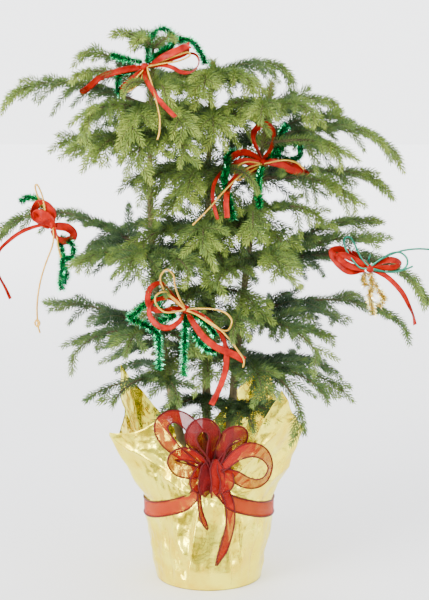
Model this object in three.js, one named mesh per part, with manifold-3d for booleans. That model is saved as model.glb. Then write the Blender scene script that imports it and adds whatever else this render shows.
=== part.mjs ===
/*
 * A Norfolk Island pine in its gift-wrapped pot.
 *
 * Three young stems grow from one root ball. Each stem carries whorls of boughs, and each bough is a
 * flat frond: an arching axis with needle-clad twigs in two ranks along it. The pot stands in a square
 * of gold foil whose corners flare out as petals above a ribbon with a bow.
 *
 * Millimetres, +Z up. The origin is the centre of the foil's flat underside, and the front, where the
 * bow is, looks along -Y. Azimuths are in degrees from +X towards +Y.
 */
import * as THREE from 'three';
import { mergeVertices } from 'three/addons/utils/BufferGeometryUtils.js';
import Module from 'manifold-3d';

const wasm = await Module();
wasm.setup();

// ---------------------------------------------------------------- driving dimensions

const GAP = 0.3; // between pieces that rest on or touch each other

const FOIL = {
  thickness: 0.8, // several crumpled plies of film
  footRadius: 66,
  waistRadius: 80.5, // where the ribbon ties it in
  waistRise: 4, // of that waist above the ribbon's upper edge
  tuck: 8, // how far below the ribbon the foil starts to taper to its foot
  tuckInset: 0.5,
  edgeRadius: 93, // between the petals
  edgeHeight: 160,
  flareBend: 0.9, // under 1, the flare leaves the waist sharply
  petalPoint: 1.3, // over 1, a petal's edge is hollow on both sides of its corner
  columns: 40,
};

// The four corners of the square sheet, what else stands up between them, and its front: where each is,
// how high and how far out its edge is, and how broad it is.
const PETALS = [
  { azimuth: 52, height: 250, radius: 114, breadth: 46 },
  { azimuth: 153, height: 252, radius: 127, breadth: 32 },
  { azimuth: 204, height: 190, radius: 131, breadth: 34 },
  { azimuth: 236, height: 206, radius: 94, breadth: 32 }, // beside the bow
  { azimuth: 317, height: 250, radius: 116, breadth: 30 },
  { azimuth: 344, height: 194, radius: 122, breadth: 34 }, // the same corner's drooping side
  { azimuth: 270, height: 168, radius: 81.5, breadth: 34 }, // held back by the bow
];

const POT = {
  height: 140,
  footRadius: 60,
  wallTopRadius: 72,
  rimRadius: 77,
  rimDepth: 22,
  wall: 2,
  segments: 20,
};

const SOIL = { level: 118, slope: 4, slopeWidth: 12 };

const RIBBON = {
  width: 19,
  thickness: 0.6,
  sideHeight: 82, // lower edge at the sides and back
  broadLift: 26, // how the tied front draws it up
  broadAngle: 45,
  knotLift: 24,
  knotAngle: 12,
  front: 270,
};

const KNOT = { x: 4, y: -88.2, z: 152, radius: 11, flat: 0.66, tall: 1.1 };
const BOW = {
  steps: 8, // pieces of each loop and tail
  loopRoot: 4, // how far from the knot's middle a loop starts
  loopBlunt: 0.8, // under 1, a loop's far end is round
  pinch: 0.3, // share of the ribbon's width at the knot
  spread: 0.6, // and how much of it more half way round a loop
  tailRoot: 6, // how far below the knot's middle the tails start
  tailClear: 3.5, // of the foil
  tailRest: 122, // height below which a tail follows the foil
  tailSettle: 0.3, // share of its length in which a tail reaches the foil
};

// Loops of the bow: which way each leans in the plane of the bow, its length, its fullness, how far
// it stands forward of the knot, and how many degrees its ribbon is turned to show its face in front.
const LOOPS = [
  { lean: 132, length: 78, fullness: 30, forward: 9, turned: -38 },
  { lean: 100, length: 66, fullness: 28, forward: 0, turned: 62 },
  { lean: 158, length: 46, fullness: 20, forward: 7, turned: -30 },
  { lean: 54, length: 56, fullness: 22, forward: 0, turned: 40 },
  { lean: 8, length: 74, fullness: 34, forward: 10, turned: 28 },
];

// Tails of the bow: sideways reach, drop, and width at the end.
const TAILS = [
  { reach: -7, drop: 66, sway: -8, width: 8 },
  { reach: -2, drop: 116, sway: 20, width: 9 },
];

const CROWN_HEIGHT = 530; // of the tips above the soil

// Stems: foot at the soil, top, and how far each bows sideways half way up, all as [x, y].
const STEMS = {
  left: { foot: [-22, -12], top: [-66, -20], bow: [-22, -4], height: 645, seed: 11 },
  centre: { foot: [-2, 22], top: [4, 30], bow: [-4, 6], height: 640, seed: 23 },
  right: { foot: [20, 2], top: [76, 6], bow: [-4, 2], height: 616, seed: 37 },
};
const STEM = {
  footRadius: 5.2,
  tipRadius: 1.7,
  flareRadius: 3.4, // how much wider the root flare makes its foot
  flareHeight: 12,
  sides: 8,
  rings: 12,
};

/*
 * Whorls of each stem, from the top down: the height of the whorl, then its masses of foliage. A mass
 * is one or more boughs that fan out from one root, each [azimuth, length, rise, droop, width]: it
 * leaves the stem rising by rise degrees, its tip points droop degrees below level, and width is the
 * length of its longest twigs, where it differs from the usual share of its length. A mass marked with
 * a limb starts beyond a bare bough, which takes up that share of its length.
 */
const WHORLS = {
  left: [
    {
      height: 645,
      masses: [
        {
          top: true,
          boughs: [
            [185, 52, 40, 20], [115, 44, 45, 20], [320, 40, 40, 40],
            [30, 42, 40, 35], [245, 46, 35, 50],
          ],
        },
      ],
    },
    {
      height: 620,
      masses: [
        { boughs: [[172, 86, 38, 30], [200, 84, 14, 26]] },
        { boughs: [[25, 60, 20, 44], [85, 66, 20, 30], [138, 60, 22, 30]] },
        { boughs: [[240, 74, 16, 66], [285, 66, 12, 70], [335, 62, 10, 60]] },
      ],
    },
    {
      height: 588,
      masses: [
        { limb: 0.3, boughs: [[178, 176, 20, 40]] },
        { boughs: [[226, 118, 12, 72], [260, 106, 6, 76], [300, 96, 6, 74]] },
        { boughs: [[130, 130, 10, 40], [62, 110, 10, 40], [20, 56, 8, 50]] },
      ],
    },
    {
      height: 552,
      masses: [
        {
          boughs: [
            [172, 104, 4, 30], [200, 96, 0, 34], [236, 106, 6, 66],
            [268, 104, 4, 80], [304, 104, 8, 66],
          ],
        },
        { boughs: [[105, 124, 8, 40], [50, 104, 8, 44]] },
      ],
    },
    {
      height: 414,
      masses: [
        { limb: 0.3, boughs: [[184, 200, 31, 62]] },
        { boughs: [[214, 104, 12, 34], [258, 118, 14, 54], [284, 92, -16, 40], [302, 96, 10, 54]] },
        { boughs: [[168, 96, 8, 30], [118, 140, 14, 36], [66, 120, 8, 40]] },
      ],
    },
    {
      height: 318,
      masses: [
        { boughs: [[182, 134, 24, 10], [212, 122, 6, 60], [255, 118, 12, 54], [300, 96, 8, 54]] },
        { boughs: [[158, 110, -4, 30], [118, 150, 8, 34]] },
      ],
    },
    {
      height: 262,
      masses: [
        { boughs: [[190, 98, -8, 40, 30], [236, 104, 4, 50], [286, 92, 4, 56]] },
        { boughs: [[112, 130, 5, 34]] },
      ],
    },
  ],
  centre: [
    {
      height: 626,
      masses: [
        { boughs: [[14, 110, 18, 66]] },
        { boughs: [[228, 76, 14, 70], [264, 94, 10, 78], [312, 84, 12, 72]] },
        { boughs: [[160, 76, 14, 50], [95, 86, 14, 40], [48, 84, 10, 44]] },
      ],
    },
    {
      height: 572,
      masses: [
        { boughs: [[232, 102, 14, 70], [272, 110, 12, 76], [322, 96, 10, 62]] },
        { boughs: [[150, 120, 10, 40], [90, 136, 10, 40], [35, 100, 8, 44]] },
      ],
    },
    {
      height: 505,
      masses: [
        {
          boughs: [
            [222, 108, 10, 52], [258, 120, 12, 64], [236, 94, -22, 34],
            [286, 94, -20, 36], [304, 116, 12, 62],
          ],
        },
        { boughs: [[160, 104, 6, 40], [105, 150, 10, 36], [50, 110, 6, 40]] },
      ],
    },
    {
      height: 430,
      masses: [
        {
          boughs: [
            [226, 124, 14, 54], [268, 140, 20, 62], [246, 92, -20, 36],
            [288, 80, -20, 36], [318, 110, 14, 54],
          ],
        },
        { boughs: [[75, 166, 10, 36], [145, 146, 10, 36]] },
      ],
    },
    {
      height: 356,
      masses: [
        { boughs: [[228, 108, 8, 46], [256, 126, 14, 58], [280, 90, -20, 36], [304, 122, 14, 58]] },
      ],
    },
    {
      height: 285,
      masses: [
        { boughs: [[231, 98, 4, 54], [272, 120, 8, 60], [298, 80, 4, 52]] },
        { boughs: [[80, 166, 5, 34], [140, 150, 0, 34]] },
      ],
    },
    {
      height: 226,
      masses: [
        { boughs: [[232, 80, 4, 44], [272, 88, 0, 52], [296, 68, 2, 46]] },
      ],
    },
  ],
  right: [
    {
      height: 592,
      masses: [
        { boughs: [[4, 82, 8, 28]] },
        { boughs: [[205, 66, 14, 60], [262, 80, 10, 70], [318, 80, 8, 54]] },
        { boughs: [[130, 66, 20, 40], [70, 90, 10, 40]] },
      ],
    },
    {
      height: 552,
      masses: [
        { boughs: [[14, 110, 24, 32]] },
        { limb: 0.26, boughs: [[357, 172, 14, 66]] },
        { boughs: [[324, 116, 8, 36]] },
        { boughs: [[100, 130, 10, 40], [48, 124, 10, 40]] },
      ],
    },
    {
      height: 500,
      masses: [
        { boughs: [[356, 148, 10, 42], [328, 124, 4, 46]] },
        { boughs: [[75, 146, 10, 34]] },
      ],
    },
    {
      height: 458,
      masses: [
        {
          boughs: [
            [326, 108, 16, 62], [268, 106, 14, 74], [296, 94, -18, 36],
            [236, 90, -18, 36], [219, 72, 10, 50],
          ],
        },
      ],
    },
    {
      height: 398,
      masses: [
        { boughs: [[7, 154, 29, 8], [344, 158, 20, 12], [352, 228, 8, 66]] },
        { boughs: [[288, 134, 24, 50], [247, 100, 10, 50]] },
        { boughs: [[62, 166, 5, 34], [116, 140, 5, 34]] },
      ],
    },
    {
      height: 335,
      masses: [
        { limb: 0.28, boughs: [[356, 214, 12, 56]] },
        { boughs: [[338, 116, -4, 20], [316, 130, 0, 56], [232, 92, -10, 40], [262, 124, 16, 58]] },
        { boughs: [[40, 166, 5, 34]] },
      ],
    },
    {
      height: 275,
      masses: [
        { boughs: [[350, 126, -6, 36], [332, 120, -4, 50], [300, 164, -2, 84], [281, 108, 6, 54]] },
        { boughs: [[30, 134, 0, 36], [88, 140, 0, 36]] },
      ],
    },
    {
      height: 222,
      masses: [
        { boughs: [[284, 84, 0, 44], [308, 80, 8, 40]] },
      ],
    },
  ],
};

// How a bough grows.
const BOUGH = {
  neck: 9, // from the stem to where the boughs of one mass part
  neckRadius: 1.8,
  neckOverlap: 1.5, // of the neck into its boughs
  stagger: 5, // how much lower each next mass of a whorl starts
  steps: 24, // straight pieces its arch is made of
  bend: 2.5, // how late along it the arch turns over
  baseRadius: 2.4, // of a bare limb at the stem
  limbSides: 6,
  limbRings: 5,
};

// How its twigs grow: one every few millimetres, to the left and right in turn. The solid keeps two in
// nine, with needles in whorls of three that stand for the many on the real twig.
const TWIG = {
  spacing: 8,
  first: 0.12,
  span: 0.86,
  keep: 4.5, // how many twigs grow for each one kept
  baseAngle: 64,
  angleFall: 24,
  angleScatter: 12,
  lift: 4,
  liftScatter: 24,
  sag: 0.18, // share of its length that a twig's tip hangs down, at the soil
  highSag: 0.5, // and how much more at the top, where the growth is young and limp
  sagScatter: 0.2,
  lengthScatter: 0.28,
  reachShare: 0.3, // the longest twigs, as a share of the bough's length and a constant more
  reachBase: 12,
  reachLimit: 56,
  steps: 4,
};
const NEEDLE = {
  wood: 1.5, // radius of the bare twig between the whorls
  reach: 7, // of the needle tips from the middle of the twig
  tipAt: 0.62, // where along each whorl's share of the twig they stand
  taper: 0.35, // how much shorter they get towards the twig's end
  axisPitch: 50,
  twigPitch: 32,
};
const CLEANUP = 0.02; // edges shorter than this are dropped after a join

// ---------------------------------------------------------------- solids

const UP = new THREE.Vector3(0, 0, 1);
const RIGHT = new THREE.Vector3(1, 0, 0);
const FRONT = new THREE.Vector3(0, -1, 0);
const radians = THREE.MathUtils.degToRad;

/** A number from 0 to 1 that looks random and depends only on its three whole numbers. */
function chance(seed, k, channel) {
  let h = (Math.imul(seed, 374761393) + Math.imul(k, 668265263) + Math.imul(channel, 2246822519)) | 0;
  h = Math.imul(h ^ (h >>> 15), 2246822519);
  h = Math.imul(h ^ (h >>> 13), 3266489917);
  return ((h ^ (h >>> 16)) >>> 0) / 2 ** 32;
}

/** Closed solid through a row of rings, each wound round the way it travels; an apex ends it in a point. */
function loft(rings, apex) {
  const sides = rings[0].length;
  const points = rings.flat();
  const faces = [];
  const last = points.length - sides;
  for (let start = 0; start < last; start += sides) {
    for (let s = 0; s < sides; s++) {
      const a = start + s;
      const b = start + ((s + 1) % sides);
      faces.push([a, b, b + sides], [a, b + sides, a + sides]);
    }
  }
  for (let s = 1; s + 1 < sides; s++) {
    faces.push([0, s + 1, s]);
    if (!apex) faces.push([last, last + s, last + s + 1]);
  }
  if (apex) {
    points.push(apex);
    for (let s = 0; s < sides; s++) faces.push([last + s, last + ((s + 1) % sides), points.length - 1]);
  }
  return toSolid(points, faces);
}

/** Solid of a closed surface given by its points and triangles. */
function toSolid(points, faces) {
  const vertProperties = new Float32Array(points.flatMap((p) => [p.x, p.y, p.z]));
  const triVerts = new Uint32Array(faces.flat());
  return new wasm.Manifold(new wasm.Mesh({ numProp: 3, vertProperties, triVerts }));
}

/** Solid of a three.js geometry, with its shared vertices merged. */
function solidOf(geometry) {
  geometry.deleteAttribute('normal');
  geometry.deleteAttribute('uv');
  const merged = mergeVertices(geometry, 1e-3);
  const vertProperties = new Float32Array(merged.attributes.position.array);
  const triVerts = new Uint32Array(merged.index.array);
  return new wasm.Manifold(new wasm.Mesh({ numProp: 3, vertProperties, triVerts }));
}

/** The whole of a joined solid: its outer skin, with no sealed bubble and no loose scrap. */
function outerBody(solid) {
  return solid.decompose().reduce((best, piece) => (piece.volume() > best.volume() ? piece : best));
}

/** Ring of points round a centre, in the plane of two directions. */
function ring(centre, side, rise, radius, sides, turn = 0) {
  return Array.from({ length: sides }, (_, i) => {
    const angle = turn + (2 * Math.PI * i) / sides;
    return centre.clone()
      .addScaledVector(side, radius * Math.cos(angle))
      .addScaledVector(rise, radius * Math.sin(angle));
  });
}

// ---------------------------------------------------------------- the growth rule

/** Point of a stem at a height: a straight lean with a bow to one side. */
function stemPoint(stem, height) {
  const t = (height - SOIL.level) / (stem.height - SOIL.level);
  const bow = Math.sin(Math.PI * t);
  const at = (i) => stem.foot[i] + (stem.top[i] - stem.foot[i]) * t + stem.bow[i] * bow;
  return new THREE.Vector3(at(0), at(1), height);
}

/** Radius of a stem at a height: an even taper and a root flare over the lowest part. */
function stemRadius(stem, height) {
  const t = (height - SOIL.level) / (stem.height - SOIL.level);
  const flare = STEM.flareRadius * Math.exp(-(height - SOIL.level) / STEM.flareHeight);
  return STEM.footRadius + (STEM.tipRadius - STEM.footRadius) * t + flare;
}

/** A path that lies in one upright plane: its points, and the level direction across it. */
class Path {
  constructor(points, side) {
    this.points = points;
    this.side = side;
    this.steps = points.length - 1;
  }

  at(u) {
    const x = Math.min(Math.max(u, 0), 1) * this.steps;
    const i = Math.min(Math.floor(x), this.steps - 1);
    return this.points[i].clone().lerp(this.points[i + 1], x - i);
  }

  tangent(u) {
    const i = Math.min(Math.floor(Math.min(Math.max(u, 0), 1) * this.steps), this.steps - 1);
    return this.points[i + 1].clone().sub(this.points[i]).normalize();
  }
}

/** Axis of a bough: its pitch turns from rise down to -droop as the power BOUGH.bend of the way along. */
function boughPath(start, [azimuth, length, rise, droop]) {
  const heading = new THREE.Vector3(Math.cos(radians(azimuth)), Math.sin(radians(azimuth)), 0);
  const step = length / BOUGH.steps;
  const points = [start.clone()];
  for (let i = 0; i < BOUGH.steps; i++) {
    const u = (i + 0.5) / BOUGH.steps;
    const pitch = radians(rise - (rise + droop) * u ** BOUGH.bend);
    const next = points[i].clone().addScaledVector(heading, step * Math.cos(pitch));
    points.push(next.addScaledVector(UP, step * Math.sin(pitch)));
  }
  return new Path(points, new THREE.Vector3(heading.y, -heading.x, 0));
}

/** Length of a bough's longest twigs. */
function twigReach([, length, , , width]) {
  return width ?? Math.min(TWIG.reachShare * length + TWIG.reachBase, TWIG.reachLimit);
}

/** Path of a bough's k-th twig, which leaves the axis forwards and to one side, and sags at its tip. */
function twigPath(axis, bough, seed, k, count) {
  const u = TWIG.first + (TWIG.span * (k + 0.5)) / count;
  const hand = k % 2 ? 1 : -1;
  const tangent = axis.tangent(u);
  const out = axis.side.clone().multiplyScalar(-hand);
  const normal = axis.side.clone().cross(tangent);
  const scatter = (channel) => chance(seed, k, channel) - 0.5;
  const angle = radians(TWIG.baseAngle - TWIG.angleFall * u + TWIG.angleScatter * scatter(0));
  const lift = radians(TWIG.lift + TWIG.liftScatter * scatter(2));
  const outline = Math.min(1, (u + 0.12) / 0.34) * (1.1 - 0.7 * u); // widest a fifth of the way along
  const length = twigReach(bough) * outline * (1 + TWIG.lengthScatter * scatter(1));
  const direction = tangent.multiplyScalar(Math.cos(angle))
    .addScaledVector(out, Math.cos(lift) * Math.sin(angle))
    .addScaledVector(normal, Math.sin(lift) * Math.sin(angle));
  const start = axis.at(u);
  const high = (start.z - SOIL.level) / CROWN_HEIGHT;
  const sag = TWIG.sag + TWIG.highSag * high ** 2 + TWIG.sagScatter * chance(seed, k, 3);
  const points = Array.from({ length: TWIG.steps + 1 }, (_, i) => {
    const s = i / TWIG.steps;
    return start.clone().addScaledVector(direction, length * s).addScaledVector(UP, -length * sag * s * s);
  });
  const across = direction.clone().cross(UP).normalize();
  return { path: new Path(points, across), length };
}

/**
 * Needle-clad twig: slim wood between whorls of three needles that point forwards, from one share of
 * its path to the end, and fatter by extra all round where it is only to measure clearance.
 */
function spray(path, length, pitch, from, extra = 0) {
  const whorls = Math.max(1, Math.round((length * (1 - from)) / pitch));
  const rings = [];
  const cross = (u, radius, turn) => {
    const rise = path.tangent(u).cross(path.side);
    return ring(path.at(u), path.side, rise, radius + extra, 3, turn);
  };
  for (let w = 0; w < whorls; w++) {
    const root = from + ((1 - from) * w) / whorls;
    const tip = from + ((1 - from) * (w + NEEDLE.tipAt)) / whorls;
    const turn = Math.PI / 2 + (w % 2) * (Math.PI / 3);
    rings.push(cross(root, NEEDLE.wood, turn));
    rings.push(cross(tip, NEEDLE.reach * (1 - (NEEDLE.taper * w) / whorls), turn));
  }
  return loft(rings, path.at(1).addScaledVector(path.tangent(1), extra));
}

// ---------------------------------------------------------------- foil, pot and ribbon

/** Degrees between two azimuths, the short way round. */
function angleBetween(a, b) {
  return Math.abs(((((a - b) % 360) + 540) % 360) - 180);
}

/** Lower edge of the ribbon round the foil: level, and drawn up towards the bow. */
function ribbonHeight(azimuth) {
  const away = angleBetween(azimuth, RIBBON.front);
  return RIBBON.sideHeight
    + RIBBON.broadLift * Math.exp(-((away / RIBBON.broadAngle) ** 2))
    + RIBBON.knotLift * Math.exp(-((away / RIBBON.knotAngle) ** 2));
}

/** How far an azimuth is into a petal, from 0 at its sides to 1 at its corner. */
function petalShare(petal, azimuth) {
  return Math.max(0, 1 - angleBetween(azimuth, petal.azimuth) / petal.breadth) ** FOIL.petalPoint;
}

/** Outline of the foil at one azimuth, from its foot to its edge, as [radius, height] pairs. */
function foilProfile(azimuth) {
  const waist = ribbonHeight(azimuth) + RIBBON.width + FOIL.waistRise;
  let edgeRadius = FOIL.edgeRadius;
  let edgeHeight = FOIL.edgeHeight;
  for (const petal of PETALS) {
    const share = petalShare(petal, azimuth);
    edgeRadius += (petal.radius - FOIL.edgeRadius) * share;
    edgeHeight += (petal.height - FOIL.edgeHeight) * share;
  }
  const flare = (q) => [
    FOIL.waistRadius + (edgeRadius - FOIL.waistRadius) * q ** FOIL.flareBend,
    waist + (edgeHeight - waist) * q,
  ];
  return [
    [FOIL.footRadius, 0],
    [FOIL.waistRadius - FOIL.tuckInset, waist - RIBBON.width - FOIL.tuck],
    [FOIL.waistRadius, waist],
    flare(0.5),
    flare(1),
  ];
}

/** Radius of the foil's outside at one azimuth and height. */
function foilRadius(azimuth, height) {
  const profile = foilProfile(azimuth);
  const i = profile.findIndex(([, z]) => z >= height);
  const [r0, z0] = profile[i - 1];
  const [r1, z1] = profile[i];
  return r0 + ((r1 - r0) * (height - z0)) / (z1 - z0);
}

/** Point at a radius, azimuth and height. */
function polar(radius, azimuth, height) {
  return new THREE.Vector3(radius * Math.cos(radians(azimuth)), radius * Math.sin(radians(azimuth)), height);
}

/** The wrap: an open shell with a closed bottom, one skin from its outside over its edge to its inside. */
function foilWrap() {
  const { columns, thickness } = FOIL;
  const points = [];
  const faces = [];
  for (let c = 0; c < columns; c++) {
    const azimuth = (360 * c) / columns;
    const outside = foilProfile(azimuth);
    const inside = outside.map(([r, z], i) => [r - thickness, i === 0 ? thickness : z]).reverse();
    for (const [r, z] of [...outside, ...inside]) points.push(polar(r, azimuth, z));
  }
  const rows = points.length / columns;
  const bottom = points.push(new THREE.Vector3(0, 0, 0)) - 1;
  const floor = points.push(new THREE.Vector3(0, 0, thickness)) - 1;
  for (let c = 0; c < columns; c++) {
    const here = c * rows;
    const next = ((c + 1) % columns) * rows;
    for (let r = 0; r + 1 < rows; r++) {
      faces.push([here + r, next + r, next + r + 1], [here + r, next + r + 1, here + r + 1]);
    }
    faces.push([bottom, next, here], [floor, here + rows - 1, next + rows - 1]);
  }
  return toSolid(points, faces);
}

/** Solid turned about the upright axis from [radius, height] pairs. */
function lathe(profile) {
  const geometry = new THREE.LatheGeometry(profile.map(([r, z]) => new THREE.Vector2(r, z)), POT.segments);
  return solidOf(geometry.rotateX(Math.PI / 2));
}

/** The plastic pot, standing on the foil's floor. */
function pot() {
  const foot = FOIL.thickness + GAP;
  const rimFoot = POT.height - POT.rimDepth;
  return lathe([
    [0, foot],
    [POT.footRadius, foot],
    [POT.wallTopRadius, rimFoot],
    [POT.rimRadius, rimFoot],
    [POT.rimRadius, POT.height],
    [POT.rimRadius - POT.wall, POT.height],
    [POT.rimRadius - POT.wall, rimFoot + POT.wall],
    [POT.wallTopRadius - POT.wall, rimFoot],
    [POT.footRadius - POT.wall, foot + POT.wall],
    [0, foot + POT.wall],
  ]);
}

/** The potting mix: it fills the pot to below its rim. */
function soil() {
  const foot = FOIL.thickness + GAP + POT.wall + GAP;
  const inner = POT.wall + 2 * GAP;
  return lathe([
    [0, foot],
    [POT.footRadius - inner, foot],
    [POT.wallTopRadius - inner, SOIL.level - SOIL.slope],
    [POT.wallTopRadius - inner - SOIL.slopeWidth, SOIL.level],
    [0, SOIL.level],
  ]);
}

/** The ribbon tied round the foil. */
function ribbonBand() {
  const { columns } = FOIL;
  const points = [];
  const faces = [];
  for (let c = 0; c < columns; c++) {
    const azimuth = (360 * c) / columns;
    const low = ribbonHeight(azimuth);
    const high = low + RIBBON.width;
    const inner = GAP + 0.1;
    const outer = inner + RIBBON.thickness;
    points.push(polar(foilRadius(azimuth, low) + inner, azimuth, low));
    points.push(polar(foilRadius(azimuth, low) + outer, azimuth, low));
    points.push(polar(foilRadius(azimuth, high) + outer, azimuth, high));
    points.push(polar(foilRadius(azimuth, high) + inner, azimuth, high));
  }
  for (let c = 0; c < columns; c++) {
    const here = c * 4;
    const next = ((c + 1) % columns) * 4;
    for (let r = 0; r < 4; r++) {
      const s = (r + 1) % 4;
      faces.push([here + r, next + r, next + s], [here + r, next + s, here + s]);
    }
  }
  return toSolid(points, faces);
}

/** A flat strip along a path, whose width runs along one direction throughout. */
function strip(points, across, widths) {
  const rings = points.map((p, i) => {
    const before = points[Math.max(i - 1, 0)];
    const after = points[Math.min(i + 1, points.length - 1)];
    const tangent = after.clone().sub(before).normalize();
    const square = across.clone().addScaledVector(tangent, -across.dot(tangent)).normalize();
    const face = tangent.clone().cross(square).multiplyScalar(RIBBON.thickness / 2);
    const half = square.multiplyScalar(widths[i] / 2);
    return [
      p.clone().add(half).add(face),
      p.clone().sub(half).add(face),
      p.clone().sub(half).sub(face),
      p.clone().add(half).sub(face),
    ];
  });
  return loft(rings);
}

/** The bow: a knot, loops that leave it and come back to it, and two tails down the front. */
function ribbonBow() {
  const knot = new THREE.Vector3(KNOT.x, KNOT.y, KNOT.z);
  const { steps } = BOW;
  const ball = new THREE.IcosahedronGeometry(KNOT.radius, 1).scale(1, KNOT.flat, KNOT.tall);
  const pieces = [solidOf(ball.translate(knot.x, knot.y, knot.z))];
  for (const { lean, length, fullness, forward, turned } of LOOPS) {
    const along = new THREE.Vector3(Math.cos(radians(lean)), 0, Math.sin(radians(lean)));
    const wide = new THREE.Vector3(-along.z, 0, along.x);
    const points = [];
    const widths = [];
    for (let i = 0; i <= steps; i++) {
      const turn = (Math.PI * i) / steps;
      const reach = BOW.loopRoot + (length - BOW.loopRoot) * Math.sin(turn) ** BOW.loopBlunt;
      points.push(knot.clone()
        .addScaledVector(along, reach)
        .addScaledVector(wide, -(fullness / 2) * Math.sin(2 * turn))
        .addScaledVector(FRONT, forward * Math.sin(turn)));
      widths.push(RIBBON.width * (BOW.pinch + BOW.spread * Math.sin(turn)));
    }
    const across = FRONT.clone().multiplyScalar(-Math.cos(radians(turned)));
    pieces.push(strip(points, across.addScaledVector(wide, Math.sin(radians(turned))), widths));
  }
  for (const { reach, drop, sway, width } of TAILS) {
    const points = [];
    for (let i = 0; i <= steps; i++) {
      const t = i / steps;
      const x = KNOT.x + reach * t + sway * Math.sin(Math.PI * t);
      const z = KNOT.z - BOW.tailRoot - drop * t;
      const azimuth = RIBBON.front + THREE.MathUtils.radToDeg(Math.atan2(x, FOIL.waistRadius));
      const onFoil = foilRadius(azimuth, Math.min(z, BOW.tailRest)) + BOW.tailClear;
      const settle = THREE.MathUtils.smoothstep(t, 0, BOW.tailSettle);
      points.push(new THREE.Vector3(x, THREE.MathUtils.lerp(KNOT.y, -onFoil, settle), z));
    }
    pieces.push(strip(points, RIGHT, points.map(() => width)));
  }
  return outerBody(wasm.Manifold.union(pieces).simplify(CLEANUP));
}

// ---------------------------------------------------------------- stems, boughs and foliage

/** One whole stem, from its flat cut on the soil to its tip. */
function stemSolid(stem) {
  const rings = [];
  const foot = SOIL.level + GAP;
  for (let i = 0; i < STEM.rings; i++) {
    const share = (i / (STEM.rings - 1)) ** 1.5; // closer together at the flare
    const height = foot + (stem.height - foot) * share;
    rings.push(ring(stemPoint(stem, height), FRONT, RIGHT, stemRadius(stem, height), STEM.sides));
  }
  return loft(rings);
}

/** Where a mass leaves the side of its stem, clear of the bark, and where its boughs part. */
function sideFork(stem, height, boughs, limb) {
  const woodRadius = limb ? BOUGH.baseRadius : NEEDLE.wood;
  const heading = new THREE.Vector3();
  for (const [azimuth] of boughs) heading.add(polar(1, azimuth, 0));
  heading.normalize();
  const lone = boughs.length === 1;
  const rise = lone ? Math.abs(boughs[0][2]) : 0;
  const clear = stemRadius(stem, height) + GAP + woodRadius * Math.sin(radians(rise));
  const root = stemPoint(stem, height).addScaledVector(heading, clear);
  const fork = root.clone().addScaledVector(heading, lone ? 0 : BOUGH.neck);
  return { root, fork };
}

/** Where the topmost boughs leave the tip of a stem. */
function topFork(stem) {
  const root = stemPoint(stem, stem.height).addScaledVector(UP, GAP);
  return { root, fork: root.clone().addScaledVector(UP, BOUGH.neck) };
}

/** The short wood between the root of a mass and its fork; none where the two are one point. */
function neckSolid(root, fork) {
  const along = fork.clone().sub(root);
  if (along.length() === 0) return null;
  along.normalize();
  const side = along.z > 0.5 ? RIGHT : along.clone().cross(UP).normalize();
  const section = (centre) => ring(centre, side, along.clone().cross(side), BOUGH.neckRadius, 4);
  return loft([section(root), section(fork.clone().addScaledVector(along, BOUGH.neckOverlap))]);
}

/** The bare first part of a long bough, one tapering limb. */
function limbSolid(path, share) {
  const rings = [];
  for (let i = 0; i < BOUGH.limbRings; i++) {
    const u = (share * i) / (BOUGH.limbRings - 1);
    const tangent = path.tangent(u);
    const radius = BOUGH.baseRadius + (NEEDLE.wood - BOUGH.baseRadius) * (i / (BOUGH.limbRings - 1));
    rings.push(ring(path.at(u), path.side, tangent.clone().cross(path.side), radius, BOUGH.limbSides));
  }
  return loft(rings);
}

const materials = {
  foil: new THREE.MeshStandardMaterial({ color: 0xd9c878, roughness: 0.28, metalness: 0.8 }),
  pot: new THREE.MeshStandardMaterial({ color: 0x2b2f2c, roughness: 0.6, metalness: 0 }),
  soil: new THREE.MeshStandardMaterial({ color: 0x3a2c22, roughness: 1, metalness: 0 }),
  ribbon: new THREE.MeshStandardMaterial({ color: 0xa8232a, roughness: 0.5, metalness: 0 }),
  bark: new THREE.MeshStandardMaterial({ color: 0x6d6236, roughness: 0.9, metalness: 0 }),
  needles: new THREE.MeshStandardMaterial({ color: 0x5f7c3c, roughness: 0.7, metalness: 0 }),
};

const plant = new THREE.Group();
const placed = [];

/** Adds a solid as a named mesh whose own origin is at a point of its own. */
function place(group, name, solid, material, origin = new THREE.Vector3()) {
  const { vertProperties, triVerts } = solid.getMesh();
  const geometry = new THREE.BufferGeometry();
  geometry.setAttribute('position', new THREE.BufferAttribute(new Float32Array(vertProperties), 3));
  geometry.setIndex(new THREE.BufferAttribute(new Uint32Array(triVerts), 1));
  geometry.translate(-origin.x, -origin.y, -origin.z);
  geometry.computeVertexNormals();
  const mesh = new THREE.Mesh(geometry, material);
  mesh.name = name;
  mesh.position.copy(origin);
  group.add(mesh);
}

/** Keeps a solid for later pieces to stay clear of. */
function remember(owner, solid) {
  placed.push({ owner, solid });
}

/** Whether two solids share any space. */
function meet(a, b) {
  const [one, other] = [a.boundingBox(), b.boundingBox()];
  for (let i = 0; i < 3; i++) {
    if (one.min[i] > other.max[i] || other.min[i] > one.max[i]) return false;
  }
  const shared = a.intersect(b);
  const hit = !shared.isEmpty();
  shared.delete();
  return hit;
}

/** Whether a solid touches anything that another owner has. */
function touches(owner, solid) {
  return placed.some((other) => other.owner !== owner && meet(solid, other.solid));
}

const wrap = new THREE.Group();
for (const [name, make, material] of [
  ['foil_wrap', foilWrap, materials.foil],
  ['pot', pot, materials.pot],
  ['soil', soil, materials.soil],
  ['ribbon_band', ribbonBand, materials.ribbon],
  ['ribbon_bow', ribbonBow, materials.ribbon],
]) {
  const solid = make();
  place(wrap, name, solid, material);
  remember(name, solid);
}
plant.add(wrap);

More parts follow.
